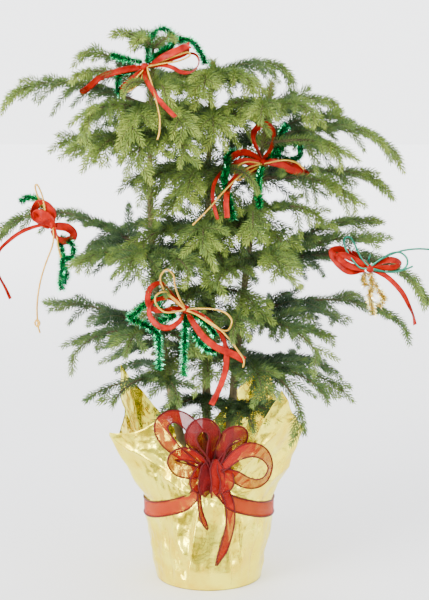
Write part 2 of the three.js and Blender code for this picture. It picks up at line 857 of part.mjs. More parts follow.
const groups = {};
for (const [side, stem] of Object.entries(STEMS)) {
  const solid = stemSolid(stem);
  groups[side] = new THREE.Group();
  place(groups[side], `stem_${side}`, solid, materials.bark, stemPoint(stem, SOIL.level));
  remember(`stem_${side}`, solid);
  plant.add(groups[side]);
}

// First the axes of all the boughs, so that no twig takes another bough's place.
const masses = [];
for (const [side, whorls] of Object.entries(WHORLS)) {
  const stem = STEMS[side];
  whorls.forEach(({ height, masses: whorl }, w) => {
    whorl.forEach(({ boughs, limb, top }, m) => {
      const name = `foliage_${side}_${w + 1}${'abcdef'[m]}`;
      const { root, fork } = top ? topFork(stem) : sideFork(stem, height - BOUGH.stagger * m, boughs, limb);
      const mass = { name, side, root, axes: [], neck: neckSolid(root, fork) };
      if (mass.neck) remember(name, mass.neck);
      boughs.forEach((bough, b) => {
        const seed = stem.seed * 100 + w * 10 + m * 3 + b;
        const path = boughPath(fork, bough);
        const from = limb ? limb + (2 * GAP) / bough[1] : 0;
        const core = spray(path, bough[1], NEEDLE.axisPitch, from);
        remember(name, core);
        mass.axes.push({ bough, path, seed, core, from });
      });
      if (limb) {
        const limbName = `bough_${side}_${w + 1}${'abcdef'[m]}`;
        const solid = limbSolid(mass.axes[0].path, limb);
        place(groups[side], limbName, solid, materials.bark, root);
        remember(limbName, solid);
      }
      masses.push(mass);
    });
  });
}

// Then the twigs, each kept only where it is clear of every other piece.
for (const { name, side, root, axes, neck } of masses) {
  const pieces = axes.map(({ core }) => core);
  if (neck) pieces.push(neck);
  for (const { bough, path, seed, from, core } of axes) {
    const count = Math.floor((bough[1] * TWIG.span) / TWIG.spacing);
    for (let i = 0, k = 0; k < count; i++, k = Math.round(i * TWIG.keep)) {
      if (TWIG.first + (TWIG.span * k) / count < from + 0.03) continue;
      const twig = twigPath(path, bough, seed, k, count);
      const roomy = spray(twig.path, twig.length, NEEDLE.twigPitch, 0, GAP);
      if (touches(name, roomy) || pieces.some((p) => p !== core && meet(p, roomy))) continue;
      const solid = spray(twig.path, twig.length, NEEDLE.twigPitch, 0);
      remember(name, solid);
      pieces.push(solid);
    }
  }
  const solid = outerBody(wasm.Manifold.union(pieces).simplify(CLEANUP));
  place(groups[side], name, solid, materials.needles, root);
}

export default plant;
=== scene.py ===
"""A Norfolk Island pine in its gift-wrapped pot, dressed with ribbon bows, gold cord and tinsel.

Shapes are worked out in millimetres, +Z up, with the front towards -Y, and go into their meshes in
metres. Azimuths are in degrees from +X towards +Y. The plant grows by the same rule as its solids,
carried on to every twig and needle.
"""

from types import SimpleNamespace as Sizes

import bpy
import numpy as np
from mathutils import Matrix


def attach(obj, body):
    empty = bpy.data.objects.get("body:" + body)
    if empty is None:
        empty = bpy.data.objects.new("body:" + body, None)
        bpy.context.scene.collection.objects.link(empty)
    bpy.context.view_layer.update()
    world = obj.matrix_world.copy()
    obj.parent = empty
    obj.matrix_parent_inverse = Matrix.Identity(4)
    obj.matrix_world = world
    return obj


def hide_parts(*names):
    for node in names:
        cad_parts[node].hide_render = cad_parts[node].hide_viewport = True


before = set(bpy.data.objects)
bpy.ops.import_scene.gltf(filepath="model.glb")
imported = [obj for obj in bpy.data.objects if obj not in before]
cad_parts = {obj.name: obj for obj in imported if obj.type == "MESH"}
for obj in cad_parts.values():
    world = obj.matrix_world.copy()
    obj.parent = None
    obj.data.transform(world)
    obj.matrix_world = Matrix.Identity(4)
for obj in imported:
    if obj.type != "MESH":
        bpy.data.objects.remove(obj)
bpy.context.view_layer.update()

# ---- camera

CAMERA_PLACE = (0.007, -1.9, 0.655)
CAMERA_PITCH = 9.12  # degrees below level
CAMERA_LENS = 93.84

lens = bpy.data.cameras.new("studio_camera")
lens.lens = CAMERA_LENS
camera = bpy.data.objects.new("studio_camera", lens)
camera.location = CAMERA_PLACE
camera.rotation_euler = (np.radians(90 - CAMERA_PITCH), 0, 0)
bpy.context.scene.collection.objects.link(camera)
bpy.context.scene.camera = camera

# ---- driving dimensions

MM = 0.001
UP = np.array([0.0, 0.0, 1.0])
FRONT = np.array([0.0, -1.0, 0.0])
FRONT_AZIMUTH = 270
GOLDEN_ANGLE = 2.39996  # radians between one needle and the next round a twig
# Directions that no tube runs along. The sides of a tube's ring are square to one of them.
NEARLY_UP = UP + 0.01 * FRONT
BACK = np.array([0.0, 1.0, 0.0])
ASLANT = np.array([0.1, 1.0, 0.15])

POT_INNER = 69
SOIL_LEVEL = 118
CROWN_HEIGHT = 530

# The foil: its foot, the waist that the ribbon ties and the narrow tuck under it, the plain edge, how
# soon it flares, how pointed its petals are, and how far the top of its edge ripples.
FOIL = Sizes(foot=66, tuck=8, tuck_inset=0.5, waist=80.5, waist_rise=4, edge=93, edge_height=160,
            flare_bend=0.9, petal_point=1.3, wall=0.6, ripple=1.6, rows=104, columns=460)
# The corners of the sheet, what else stands up between them, and its front held back by the bow:
# azimuth, height, radius, breadth.
PETALS = [(52, 262, 114, 46), (153, 258, 127, 42), (204, 190, 131, 34), (233, 217, 98, 34),
          (317, 250, 116, 30), (344, 194, 122, 34), (270, 168, 81.5, 34)]
# The stretch of a petal that the foliage leaves in view: azimuths and millimetres below its edge, both
# as first, last and step, and how far it leans out by height.
BARE_PETAL = Sizes(azimuths=(143, 176, 4), below=(0, 50, 12), flare=0.3)
RIBBON = Sizes(width=19, side_height=82, broad_lift=26, broad_angle=45, knot_lift=24, knot_angle=12)

STEMS = {
    "left": Sizes(foot=(-22, -12), top=(-66, -20), bow=(-22, -4), height=645, seed=11),
    "centre": Sizes(foot=(-2, 22), top=(4, 30), bow=(-4, 6), height=640, seed=23),
    "right": Sizes(foot=(20, 2), top=(76, 6), bow=(-4, 2), height=616, seed=37),
}
STEM = Sizes(foot=5.2, tip=1.7, flare=3.4, flare_height=12)
# Bark: its start over the soil, how far it lies over the stem's plain form, its swelling at a whorl, and
# its scars and ridges, whose grain is drawn out along the stem and laid out at one girth all the way.
BARK = Sizes(start=0.3, over=0.6, whorl=0.5, whorl_height=3.5, scar=0.22, ridge=0.35, grain=1.6,
            stretch=0.35, girth=5, rows=420, sides=24)
TOP = -1  # a mass that stands on the tip of its stem

# Whorls of each stem from the top down: its height, then its masses, each with the bare share of its
# bough and the boughs that fan out from it as azimuth, length, rise, droop and longest twig.
WHORLS = {
    "left": [
        (645, [
            (TOP, [(185, 52, 40, 20), (115, 44, 45, 20), (320, 40, 40, 40),
                 (30, 42, 40, 35), (245, 46, 35, 50)]),
        ]),
        (620, [
            (0, [(172, 86, 38, 30), (200, 84, 14, 26)]),
            (0, [(25, 60, 20, 44), (85, 66, 20, 30), (138, 60, 22, 30)]),
            (0, [(240, 74, 16, 66), (285, 66, 12, 70), (335, 62, 10, 60)]),
        ]),
        (588, [
            (0.3, [(178, 176, 20, 40)]),
            (0, [(226, 118, 12, 72), (260, 106, 6, 76), (300, 96, 6, 74)]),
            (0, [(130, 130, 10, 40), (62, 110, 10, 40), (20, 56, 8, 50)]),
        ]),
        (552, [
            (0, [(172, 104, 4, 30), (200, 96, 0, 34), (236, 106, 6, 66),
                 (268, 104, 4, 80), (304, 104, 8, 66)]),
            (0, [(105, 124, 8, 40), (50, 104, 8, 44)]),
        ]),
        (414, [
            (0.3, [(184, 200, 31, 62)]),
            (0, [(214, 104, 12, 34), (258, 118, 14, 54), (284, 92, -16, 40), (302, 96, 10, 54)]),
            (0, [(168, 96, 8, 30), (118, 140, 14, 36), (66, 120, 8, 40)]),
        ]),
        (318, [
            (0, [(182, 134, 24, 10), (212, 122, 6, 60), (255, 118, 12, 54), (300, 96, 8, 54)]),
            (0, [(158, 110, -4, 30), (118, 150, 8, 34)]),
        ]),
        (262, [
            (0, [(190, 98, -8, 40, 30), (236, 104, 4, 50), (286, 92, 4, 56)]),
            (0, [(112, 130, 5, 34)]),
        ]),
    ],
    "centre": [
        (626, [
            (0, [(14, 110, 18, 66)]),
            (0, [(228, 76, 14, 70), (264, 94, 10, 78), (312, 84, 12, 72)]),
            (0, [(160, 76, 14, 50), (95, 86, 14, 40), (48, 84, 10, 44)]),
        ]),
        (572, [
            (0, [(232, 102, 14, 70), (272, 110, 12, 76), (322, 96, 10, 62)]),
            (0, [(150, 120, 10, 40), (90, 136, 10, 40), (35, 100, 8, 44)]),
        ]),
        (505, [
            (0, [(222, 108, 10, 52), (258, 120, 12, 64), (236, 94, -22, 34),
                 (286, 94, -20, 36), (304, 116, 12, 62)]),
            (0, [(160, 104, 6, 40), (105, 150, 10, 36), (50, 110, 6, 40)]),
        ]),
        (430, [
            (0, [(226, 124, 14, 54), (268, 140, 20, 62), (246, 92, -20, 36),
                 (288, 80, -20, 36), (318, 110, 14, 54)]),
            (0, [(75, 166, 10, 36), (145, 146, 10, 36)]),
        ]),
        (356, [
            (0, [(228, 108, 8, 46), (256, 126, 14, 58), (280, 90, -20, 36), (304, 122, 14, 58)]),
        ]),
        (285, [
            (0, [(231, 98, 4, 54), (272, 120, 8, 60), (298, 80, 4, 52)]),
            (0, [(80, 166, 5, 34), (140, 150, 0, 34)]),
        ]),
        (226, [
            (0, [(232, 80, 4, 44), (272, 88, 0, 52), (296, 68, 2, 46)]),
        ]),
    ],
    "right": [
        (592, [
            (0, [(4, 82, 8, 28)]),
            (0, [(205, 66, 14, 60), (262, 80, 10, 70), (318, 80, 8, 54)]),
            (0, [(130, 66, 20, 40), (70, 90, 10, 40)]),
        ]),
        (552, [
            (0, [(14, 110, 24, 32)]),
            (0.26, [(357, 172, 14, 66)]),
            (0, [(324, 116, 8, 36)]),
            (0, [(100, 130, 10, 40), (48, 124, 10, 40)]),
        ]),
        (500, [
            (0, [(356, 148, 10, 42), (328, 124, 4, 46)]),
            (0, [(75, 146, 10, 34)]),
        ]),
        (458, [
            (0, [(326, 108, 16, 62), (268, 106, 14, 74), (296, 94, -18, 36),
                 (236, 90, -18, 36), (219, 72, 10, 50)]),
        ]),
        (398, [
            (0, [(7, 154, 29, 8), (344, 158, 20, 12), (352, 228, 8, 66)]),
            (0, [(288, 134, 24, 50), (247, 100, 10, 50)]),
            (0, [(62, 166, 5, 34), (116, 140, 5, 34)]),
        ]),
        (335, [
            (0.28, [(356, 214, 12, 56)]),
            (0, [(338, 116, -4, 20), (316, 130, 0, 56), (232, 92, -10, 40), (262, 124, 16, 58)]),
            (0, [(40, 166, 5, 34)]),
        ]),
        (275, [
            (0, [(350, 126, -6, 36), (332, 120, -4, 50), (300, 164, -2, 84), (281, 108, 6, 54)]),
            (0, [(30, 134, 0, 36), (88, 140, 0, 36)]),
        ]),
        (222, [
            (0, [(284, 84, 0, 44), (308, 80, 8, 40)]),
        ]),
    ],
}
# Boughs: the neck before they part, how much lower each mass of a whorl starts, how late they droop,
# the radius of a fanned one and of a bare limb, and their clearance from the stem.
BOUGH = Sizes(neck=9, stagger=5, steps=24, bend=2.5, wood=1.5, limb=2.4, gap=0.3, thicker=0.006, tip=0.7,
             rings=25, ridge=0.16, ridge_turn=2.1)
# Twigs: where on a bough they start, their angle to it and how it falls, how they rise and sag, how
# long they get, which share of them is lost in the shade, and where they stand up or hang steeply.
TWIG = Sizes(spacing=7.0, first=0.12, span=0.86, angle=64, fall=24, scatter=12, lift=4, lift_scatter=36,
            sag=0.02, high_sag=0.36, sag_scatter=0.2, share=0.3, least=12, most=56, narrow=0.58,
            high_narrow=0.14, size=0.86, size_scatter=0.28, lost=0.75, lost_below=0.8, lost_from=0.6,
            steep=100, crown=0.3, crown_ease=0.3, foot=0.16, foot_ease=0.05, base=0.75, tip=0.35)
NEEDLE = Sizes(length=10.5, size=0.82, size_scatter=0.36, breadth=1.35, knee=0.45, spread=60, sweep=42,
              scatter=14, per_mm=2.2, axis_per_mm=2.6)
# How needles get shorter, close up and get fresher towards the end of a twig, and of a bough or leader.
TWIG_HABIT = Sizes(shorter=0.35, shorter_power=3, closed=26, closed_sweep=18, closed_power=2,
                  fresher=0.20, fresh_scatter=0.22)
AXIS_HABIT = Sizes(shorter=0.3, shorter_power=4, closed=24, closed_sweep=16, closed_power=4,
                  fresher=0.2, fresh_scatter=0.10)
LEADER = Sizes(start=240, per_mm=3.4, wide=16, longer=1.5, fresh=0.66)
# How fresh the green is, from 0 to 1, with painted shade in it: more so outwards, from the painted shade of
# the heart to the fresh tips, upwards, and in front, since back paints shade on boughs towards the back of
# the plant.
FRESH_AND_SHADE = Sizes(least=0.15, outwards=0.40, upwards=0.25, scatter=0.20, back=0.10, from_height=250,
             over_height=400, axis=0.36, axis_upwards=0.2)
CLEARING = Sizes(depth=200, radius=8)

# ---- making meshes


def quads(rows, columns, looped=False):
    """Faces of a grid whose last column joins its first: each joins a point to its neighbours in the
    next column and the next row. A looped grid's last row joins its first too."""
    r, c = np.meshgrid(np.arange(rows if looped else rows - 1), np.arange(columns), indexing="ij")
    here, below = r * columns, (r + 1) % rows * columns
    after = (c + 1) % columns
    return np.stack([here + c, here + after, below + after, below + c], -1).reshape(-1, 4)


def closed_faces(rows, columns):
    """Faces of a grid whose first and last row each close on a pole, the two points after the grid."""
    c = np.arange(columns)
    after = (c + 1) % columns
    last_row = (rows - 1) * columns
    first_pole = rows * columns
    lids = np.vstack([np.stack([np.full(columns, first_pole), after, c], -1),
                      np.stack([np.full(columns, first_pole + 1), last_row + c, last_row + after], -1)])
    return [quads(rows, columns), lids]


def closed_form(grid, first_pole, last_pole):
    """Points and faces of a grid of points whose first and last row each close on a pole."""
    return np.vstack([grid.reshape(-1, 3), first_pole, last_pole]), closed_faces(*grid.shape[:2])


def piece(name, form, coat, replaced=(), smooth=True):
    """Mesh object of a form: its points in millimetres, and a list of arrays with one face a row."""
    points, faces = form
    corners = np.concatenate([f.ravel() for f in faces]).astype(np.int32)
    sizes = np.concatenate([np.full(len(f), f.shape[1]) for f in faces])
    mesh = bpy.data.meshes.new(name)
    mesh.vertices.add(len(points))
    mesh.vertices.foreach_set("co", (np.asarray(points) * MM).astype(np.float32).ravel())
    mesh.loops.add(len(corners))
    mesh.loops.foreach_set("vertex_index", corners)
    mesh.polygons.add(len(sizes))
    mesh.polygons.foreach_set("loop_start", (np.cumsum(sizes) - sizes).astype(np.int32))
    mesh.polygons.foreach_set("use_smooth", np.full(len(sizes), smooth))
    mesh.update(calc_edges=True)
    mesh.materials.append(coat)
    made = bpy.data.objects.new(name, mesh)
    bpy.context.scene.collection.objects.link(made)
    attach(made, "root")
    if replaced:
        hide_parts(*replaced)


def join(parts):
    """One set of points and faces from several."""
    points, quad_faces, tri_faces, shift = [], [], [], 0
    for part_points, part_faces in parts:
        points.append(part_points)
        for faces in part_faces:
            (quad_faces if faces.shape[1] == 4 else tri_faces).append(faces + shift)
        shift += len(part_points)
    return np.vstack(points), [np.vstack(faces) for faces in (quad_faces, tri_faces)]


def unit(v):
    """Vectors along the last axis, each divided by its length."""
    return v / np.maximum(np.linalg.norm(v, axis=-1, keepdims=True), 1e-9)


def tubes(paths, radii, sides, reference):
    """Closed round tubes along many paths at once. At each point of a path the ring is
    centre + radius (cos a side - sin a rise), with side square to the path and the reference, and
    rise square to both. Poles at the two ends close it. Radii has a row for each path or one for all
    of them, with one value or one for each side at each point."""
    count, rows = paths.shape[:2]
    tangent = unit(np.gradient(paths, axis=1))
    side = unit(np.cross(tangent, np.broadcast_to(reference, tangent.shape)))
    rise = np.cross(side, tangent)
    angle = np.linspace(0, 2 * np.pi, sides, endpoint=False)[:, None]
    ring = np.cos(angle) * side[:, :, None] - np.sin(angle) * rise[:, :, None]
    if radii.ndim == 2:
        radii = radii[..., None]
    skin = paths[:, :, None] + radii[..., None] * ring
    ends = np.stack([paths[:, 0], paths[:, -1]], 1)
    points = np.concatenate([skin.reshape(count, rows * sides, 3), ends], 1)
    shift = (np.arange(count) * (rows * sides + 2))[:, None, None]
    return points.reshape(-1, 3), [(faces[None] + shift).reshape(-1, faces.shape[1])
                                   for faces in closed_faces(rows, sides)]


def even_tube(path, radius, sides, reference):
    """One closed tube of the same radius all along a path."""
    return tubes(path[None], np.full((1, len(path)), radius), sides, reference)


def spline(knots, steps):
    """Smooth path through knots: between each two, the cubic whose slope at a knot is half the step
    from the knot before it to the one after it."""
    knots = np.asarray(knots, float)
    padded = np.vstack([2 * knots[0] - knots[1], knots, 2 * knots[-1] - knots[-2]])
    t = np.linspace(0, len(knots) - 1, steps)
    i = np.minimum(t.astype(int), len(knots) - 2)
    f = (t - i)[:, None]
    p0, p1, p2, p3 = (padded[i + k] for k in range(4))
    return 0.5 * (2 * p1 + (p2 - p0) * f + (2 * p0 - 5 * p1 + 4 * p2 - p3) * f ** 2
                  + (3 * p1 - p0 - 3 * p2 + p3) * f ** 3)


def on_path(path, u):
    """Points and directions at shares u of a path."""
    x = np.clip(u, 0, 1) * (len(path) - 1)
    i = np.minimum(x.astype(int), len(path) - 2)
    step = path[i + 1] - path[i]
    return path[i] + step * (x - i)[:, None], unit(step)


def length_of(path):
    """How long a path is, from point to point."""
    return np.sum(np.linalg.norm(np.diff(path, axis=0), axis=1))


def heading(azimuth):
    """Level direction of an azimuth: (cos a, sin a, 0)."""
    a = np.radians(azimuth)
    return np.stack([np.cos(a), np.sin(a), np.zeros_like(a)], -1)


def apart(a, b):
    """Degrees between azimuths, the short way round."""
    return np.abs((np.asarray(a) - b + 180) % 360 - 180)


# ---- chance and relief


def chance(seed, count, channel):
    """Fixed number from 0 to 1: seed, count and channel times odd constants, added, then folded on
    itself in 32 bits between two multiplications."""
    word = np.uint64(0xFFFFFFFF)
    first, second, third = np.uint64(374761393), np.uint64(668265263), np.uint64(2246822519)
    seed, count, channel = (np.asarray(v).astype(np.uint64) for v in (seed, count, channel))
    h = (seed * first + count * second + channel * third) & word
    h = ((h ^ (h >> np.uint64(15))) * third) & word
    h = ((h ^ (h >> np.uint64(13))) * np.uint64(3266489917)) & word
    return ((h ^ (h >> np.uint64(16))) & word).astype(float) / 2 ** 32


def lumps(points, size, seed):
    """Smooth noise from -1 to 1 over points: a number by chance at each corner of a lattice of that
    size, eased between corners by 3f^2 - 2f^3."""
    p = np.asarray(points) / size + 1000.0
    cell = np.floor(p).astype(np.int64)
    f = p - cell
    f = f * f * (3 - 2 * f)
    total = np.zeros(p.shape[:-1])
    for corner in np.ndindex(2, 2, 2):
        at = cell + np.array(corner)
        weight = np.prod(np.where(np.array(corner) == 1, f, 1 - f), -1)
        total += weight * chance(at[..., 0] * 4096 + at[..., 1], at[..., 2], seed)
    return 2 * total - 1


def creases(points, size, seed, directions=6):
    """Crumpled relief from -2 to 2: twice the mean of saw-tooth waves that run from -1 to 1, in
    directions by chance over points shifted by smooth noise, so that straight folds meet."""
    k = np.arange(directions)
    tilt = np.arccos(2 * chance(seed, k, 1) - 1)
    turn = 2 * np.pi * chance(seed, k, 2)
    ways = np.stack([np.sin(tilt) * np.cos(turn), np.sin(tilt) * np.sin(turn), np.cos(tilt)], -1)
    shifted = points + 0.35 * size * np.stack([lumps(points, 1.5 * size, seed + i) for i in (3, 4, 5)], -1)
    wave = shifted @ ways.T / (size * (0.7 + 0.8 * chance(seed, k, 6))) + chance(seed, k, 7)
    return np.mean(2 * np.abs(2 * (wave - np.floor(wave)) - 1) - 1, -1) * 2


# ---- finishes

NOISE, CELLS, WAVES = "TexNoise", "TexVoronoi", "TexWave"
DRIFT = (0.35, 0.65)  # where on the noise a finish's colour starts and ends its drift


def node(tree, kind, **inputs):
    """A new node. Its inputs take values, or come from other nodes' outputs."""
    made = tree.nodes.new("ShaderNode" + kind)
    for name, value in inputs.items():
        socket = made.inputs[name.replace("_", " ")]
        if isinstance(value, bpy.types.NodeSocket):
            tree.links.new(value, socket)
        else:
            socket.default_value = value
    return made


def ranged(tree, value, low, high, to_low, to_high, eased=False):
    """A value carried evenly, or eased at both ends, from one range to another."""
    made = node(tree, "MapRange", Value=value, From_Min=low, From_Max=high, To_Min=to_low, To_Max=to_high)
    made.interpolation_type = "SMOOTHSTEP" if eased else "LINEAR"
    return made.outputs["Result"]


def finish(name, colour, roughness, metallic=0.0, alpha=1.0, specular=0.5, other=None, patch=0.02,
           bumps=(), rough_change=0.12):
    """Procedural finish: colour drifts to the other colour over noise of the patch size in metres,
    roughness wanders with finer noise, and bumps lists the relief as kind, size in metres and
    strength. Values that are the same all over sit on the shader's own sockets."""
    material = bpy.data.materials.new(name)
    material.use_nodes = True
    tree = material.node_tree
    shader = tree.nodes["Principled BSDF"].inputs
    for value_name, value in (("Metallic", metallic), ("Alpha", alpha), ("Specular IOR Level", specular)):
        shader[value_name].default_value = value
    place = node(tree, "TexCoord").outputs["Object"]

    def texture(kind, size, detail=2.0):
        """Outputs of a texture of a kind, with a grain of that size in metres."""
        return node(tree, kind, Scale=1 / size, Detail=detail, Vector=place).outputs

    ramp = node(tree, "ValToRGB", Fac=texture(NOISE, patch, 3.0)["Fac"])
    for stop, position, shade in zip(ramp.color_ramp.elements, DRIFT,
                                     (colour, other or [c * 0.8 for c in colour])):
        stop.position = position
        stop.color = (*shade, 1)
    tree.links.new(ramp.outputs["Color"], shader["Base Color"])
    tree.links.new(ranged(tree, texture(NOISE, patch / 4)["Fac"], 0, 1, roughness - rough_change,
                          roughness + rough_change), shader["Roughness"])
    below = {}
    for kind, size, strength in bumps:
        bump = node(tree, "Bump", Strength=strength, Distance=size / 4, Height=texture(kind, size)[0],
                    **below)
        below = dict(Normal=bump.outputs["Normal"])
        tree.links.new(below["Normal"], shader["Normal"])
    return material


# From the shaded heart of the plant to the fresh growth at its tips.
GREENS = [(0.012, 0.029, 0.014), (0.028, 0.060, 0.025), (0.060, 0.108, 0.036), (0.106, 0.166, 0.038),
          (0.164, 0.234, 0.040), (0.245, 0.310, 0.050)]
needle_greens = [finish(f"needle_green_{i + 1}", green, 0.5, specular=0.12, other=[v * 1.2 for v in green],
                        patch=0.03) for i, green in enumerate(GREENS)]
bark = finish("bark", (0.105, 0.078, 0.042), 0.8, specular=0.25, other=(0.060, 0.040, 0.026),
              patch=0.012, bumps=[(NOISE, 0.002, 0.5)])
young_bark = finish("stem_bark", (0.200, 0.165, 0.072), 0.7, specular=0.25, other=(0.120, 0.092, 0.045),
                    bumps=[(NOISE, 0.002, 0.5)])
green_wood = finish("green_wood", (0.110, 0.115, 0.040), 0.7, specular=0.3, other=(0.085, 0.068, 0.032),
                    bumps=[(NOISE, 0.0015, 0.4)])
gold_foil = finish("gold_foil", (0.86, 0.64, 0.016), 0.24, metallic=1.0, other=(1.0, 0.90, 0.08),
                   patch=0.024, bumps=[(CELLS, 0.012, 0.14), (NOISE, 0.004, 0.08)], rough_change=0.08)
pot_plastic = finish("pot_plastic", (0.020, 0.032, 0.024), 0.55, patch=0.04,
                     bumps=[(NOISE, 0.001, 0.1)])
potting_mix = finish("potting_mix", (0.042, 0.026, 0.016), 0.95, specular=0.15,
                     other=(0.085, 0.058, 0.036), patch=0.004, bumps=[(NOISE, 0.003, 0.8)])

WEAVE = [(WAVES, 0.0012, 0.25)]
band_organza = finish("band_organza", (0.44, 0.020, 0.002), 0.5, alpha=0.58, specular=0.15,
                      other=(0.34, 0.012, 0.002), bumps=WEAVE)
bow_organza = finish("bow_organza", (0.34, 0.008, 0.002), 0.5, alpha=0.54, specular=0.15,
                     other=(0.28, 0.004, 0.003), bumps=WEAVE)
# A darker, less sheer copy of the bow's organza for its knot and for the loops and folds in the shade of
# the others: painted shade.
shaded_organza = finish("shaded_organza", (0.17, 0.003, 0.003), 0.5, alpha=0.74, specular=0.15,
                        other=(0.10, 0.002, 0.003), patch=0.012, bumps=WEAVE)
organza_edge = finish("dark_red_edge", (0.085, 0.002, 0.003), 0.5, specular=0.2,
                      bumps=[(NOISE, 0.0006, 0.3)])
satin_ribbon = finish("satin_ribbon", (0.40, 0.010, 0.002), 0.32, specular=0.12,
                      other=(0.19, 0.003, 0.001), patch=0.009, bumps=[(NOISE, 0.0012, 0.3)])
gold_cord = finish("gold_cord", (0.70, 0.38, 0.04), 0.32, metallic=1.0, other=(0.80, 0.50, 0.09),
                   patch=0.01, bumps=[(NOISE, 0.0008, 0.4)])
green_cord = finish("green_cord", (0.02, 0.18, 0.11), 0.3, metallic=1.0, other=(0.04, 0.28, 0.18),
                    patch=0.01, bumps=[(NOISE, 0.0008, 0.4)])
# Three tones of film for each tinsel, dealt to its blades by chance. The palest of each, nearly white for
# the gold, is a painted glint.
emerald_film = [finish(f"emerald_film_{i + 1}", shine, 0.22, metallic=1.0, patch=0.004)
                for i, shine in enumerate([(0.008, 0.24, 0.09), (0.02, 0.50, 0.20), (0.22, 0.85, 0.50)])]
gold_film = [finish(f"gold_film_{i + 1}", shine, 0.2, metallic=1.0, patch=0.004)
             for i, shine in enumerate([(0.96, 0.72, 0.16), (1.0, 0.90, 0.45), (1.0, 1.0, 0.96)])]

# ---- stems


def stem_point(stem, height):
    """Axis of a stem: foot + (top - foot) t + bow sin(pi t), with t from 0 at the soil to 1 at its tip."""
    height = np.asarray(height, float)
    t = (height - SOIL_LEVEL) / (stem.height - SOIL_LEVEL)
    level = [stem.foot[i] + (stem.top[i] - stem.foot[i]) * t + stem.bow[i] * np.sin(np.pi * t)
             for i in (0, 1)]
    return np.stack([*level, height], -1)


def stem_radius(stem, height):
    """Even taper from foot to tip, and a root flare that fades as exp(-height / flare height)."""
    above = np.asarray(height, float) - SOIL_LEVEL
    t = above / (stem.height - SOIL_LEVEL)
    flare = STEM.flare * np.exp(-above / STEM.flare_height)
    return STEM.foot + (STEM.tip - STEM.foot) * t + flare


def stem_bark(side, stem):
    """Bark of one stem: a tube on its axis whose radius has leaf scars in rising spirals, ridges and
    a swelling at each whorl."""
    height = np.linspace(SOIL_LEVEL + BARK.start, stem.height, BARK.rows)
    axis = stem_point(stem, height)
    turn = np.linspace(0, 2 * np.pi, BARK.sides, endpoint=False)
    skin = axis[:, None] + BARK.girth * np.stack([np.cos(turn), np.sin(turn), 0 * turn], -1)
    scars = np.sin(3 * turn + height[:, None] / 1.9) * np.sin(5 * turn - height[:, None] / 2.6)
    ridges = lumps(skin * [1, 1, BARK.stretch], BARK.grain, 71)
    whorls = sum(np.exp(-((height - level) / BARK.whorl_height) ** 2) for level, _ in WHORLS[side])
    radius = stem_radius(stem, height) + BARK.whorl * whorls + BARK.over
    relief = (BARK.scar * scars + BARK.ridge * ridges) * np.minimum(1, radius / 3)[:, None]
    form = tubes(axis[None], (radius[:, None] + relief)[None], BARK.sides, BACK)
    piece(f"stem_bark_{side}", form, young_bark, [f"stem_{side}"])


# ---- boughs, twigs and needles


def bough_path(fork, azimuth, length, rise, droop):
    """Axis of a bough: even steps whose pitch is rise - (rise + droop) u^bend."""
    u = (np.arange(BOUGH.steps) + 0.5) / BOUGH.steps
    pitch = np.radians(rise - (rise + droop) * u ** BOUGH.bend)[:, None]
    steps = (np.cos(pitch) * heading(azimuth) + np.sin(pitch) * UP) * length / BOUGH.steps
    return np.vstack([fork, fork + np.cumsum(steps, 0)])


def fork_of(stem, height, boughs, bare):
    """Where a mass leaves its stem and where its boughs part: on the bark in the mean direction of
    the boughs and a neck further out, or on top of the stem's tip."""
    if bare == TOP:
        root = stem_point(stem, stem.height) + BOUGH.gap * UP
        return root, root + BOUGH.neck * UP
    out = unit(sum(heading(b[0]) for b in boughs))
    lone = len(boughs) == 1
    wood = BOUGH.limb if bare else BOUGH.wood
    lift = wood * np.sin(np.radians(abs(boughs[0][2]))) if lone else 0
    root = stem_point(stem, height) + (stem_radius(stem, height) + BOUGH.gap + lift) * out
    return root, root + (0 if lone else BOUGH.neck) * out


def twigs_of(path, bough, seed):
    """All twigs of a bough at once, one row each: start, direction, length, sag, place on the bough
    and seed. They leave in turn to both sides, at an angle that falls evenly, and their lengths
    follow min(1, (u + 0.2) / 0.34) (1.1 - narrow u). In the crown and at the foot each third one
    stands up or hangs steeply, and low down, where there is little light, some are missing further
    out."""
    azimuth, length = bough[:2]
    widest = bough[4] if len(bough) > 4 else min(TWIG.share * length + TWIG.least, TWIG.most)
    count = int(length * TWIG.span / TWIG.spacing)
    k = np.arange(count)
    u = TWIG.first + TWIG.span * (k + 0.5) / count
    hand = np.where(k % 2, 1.0, -1.0)[:, None]
    start, tangent = on_path(path, u)
    high = (start[:, 2] - SOIL_LEVEL) / CROWN_HEIGHT
    level = heading(azimuth + 90) * np.ones((count, 1))
    normal = np.cross(tangent, level)
    angle = np.radians(TWIG.angle - TWIG.fall * u + TWIG.scatter * (chance(seed, k, 0) - 0.5))
    ends = np.maximum((high - TWIG.crown) / TWIG.crown_ease,
                      (TWIG.foot - high) / TWIG.foot_ease)
    steep = TWIG.steep * (k % 3 == 0) * np.clip(ends, 0, 1)
    lift = np.radians(TWIG.lift + (TWIG.lift_scatter + steep) * (chance(seed, k, 2) - 0.5))
    outline = np.minimum(1, (u + 0.2) / 0.34) * (1.1 - (TWIG.narrow + TWIG.high_narrow * high) * u)
    reach = widest * outline * (TWIG.size + TWIG.size_scatter * chance(seed, k, 1))
    angle, lift = angle[:, None], lift[:, None]
    way = tangent * np.cos(angle) + (hand * level * np.cos(lift) + normal * np.sin(lift)) * np.sin(angle)
    sag = TWIG.sag + TWIG.high_sag * high ** 2 + TWIG.sag_scatter * chance(seed, k, 3)
    shade = np.clip(1 - high / TWIG.lost_below, 0, 1) * np.clip(u / TWIG.lost_from, 0, 1)
    kept = chance(seed, k, 12) > TWIG.lost * shade
    made = dict(start=start, way=way, length=reach, sag=sag, u=u, seed=seed * 64 + k)
    return {name: value[kept] for name, value in made.items()}


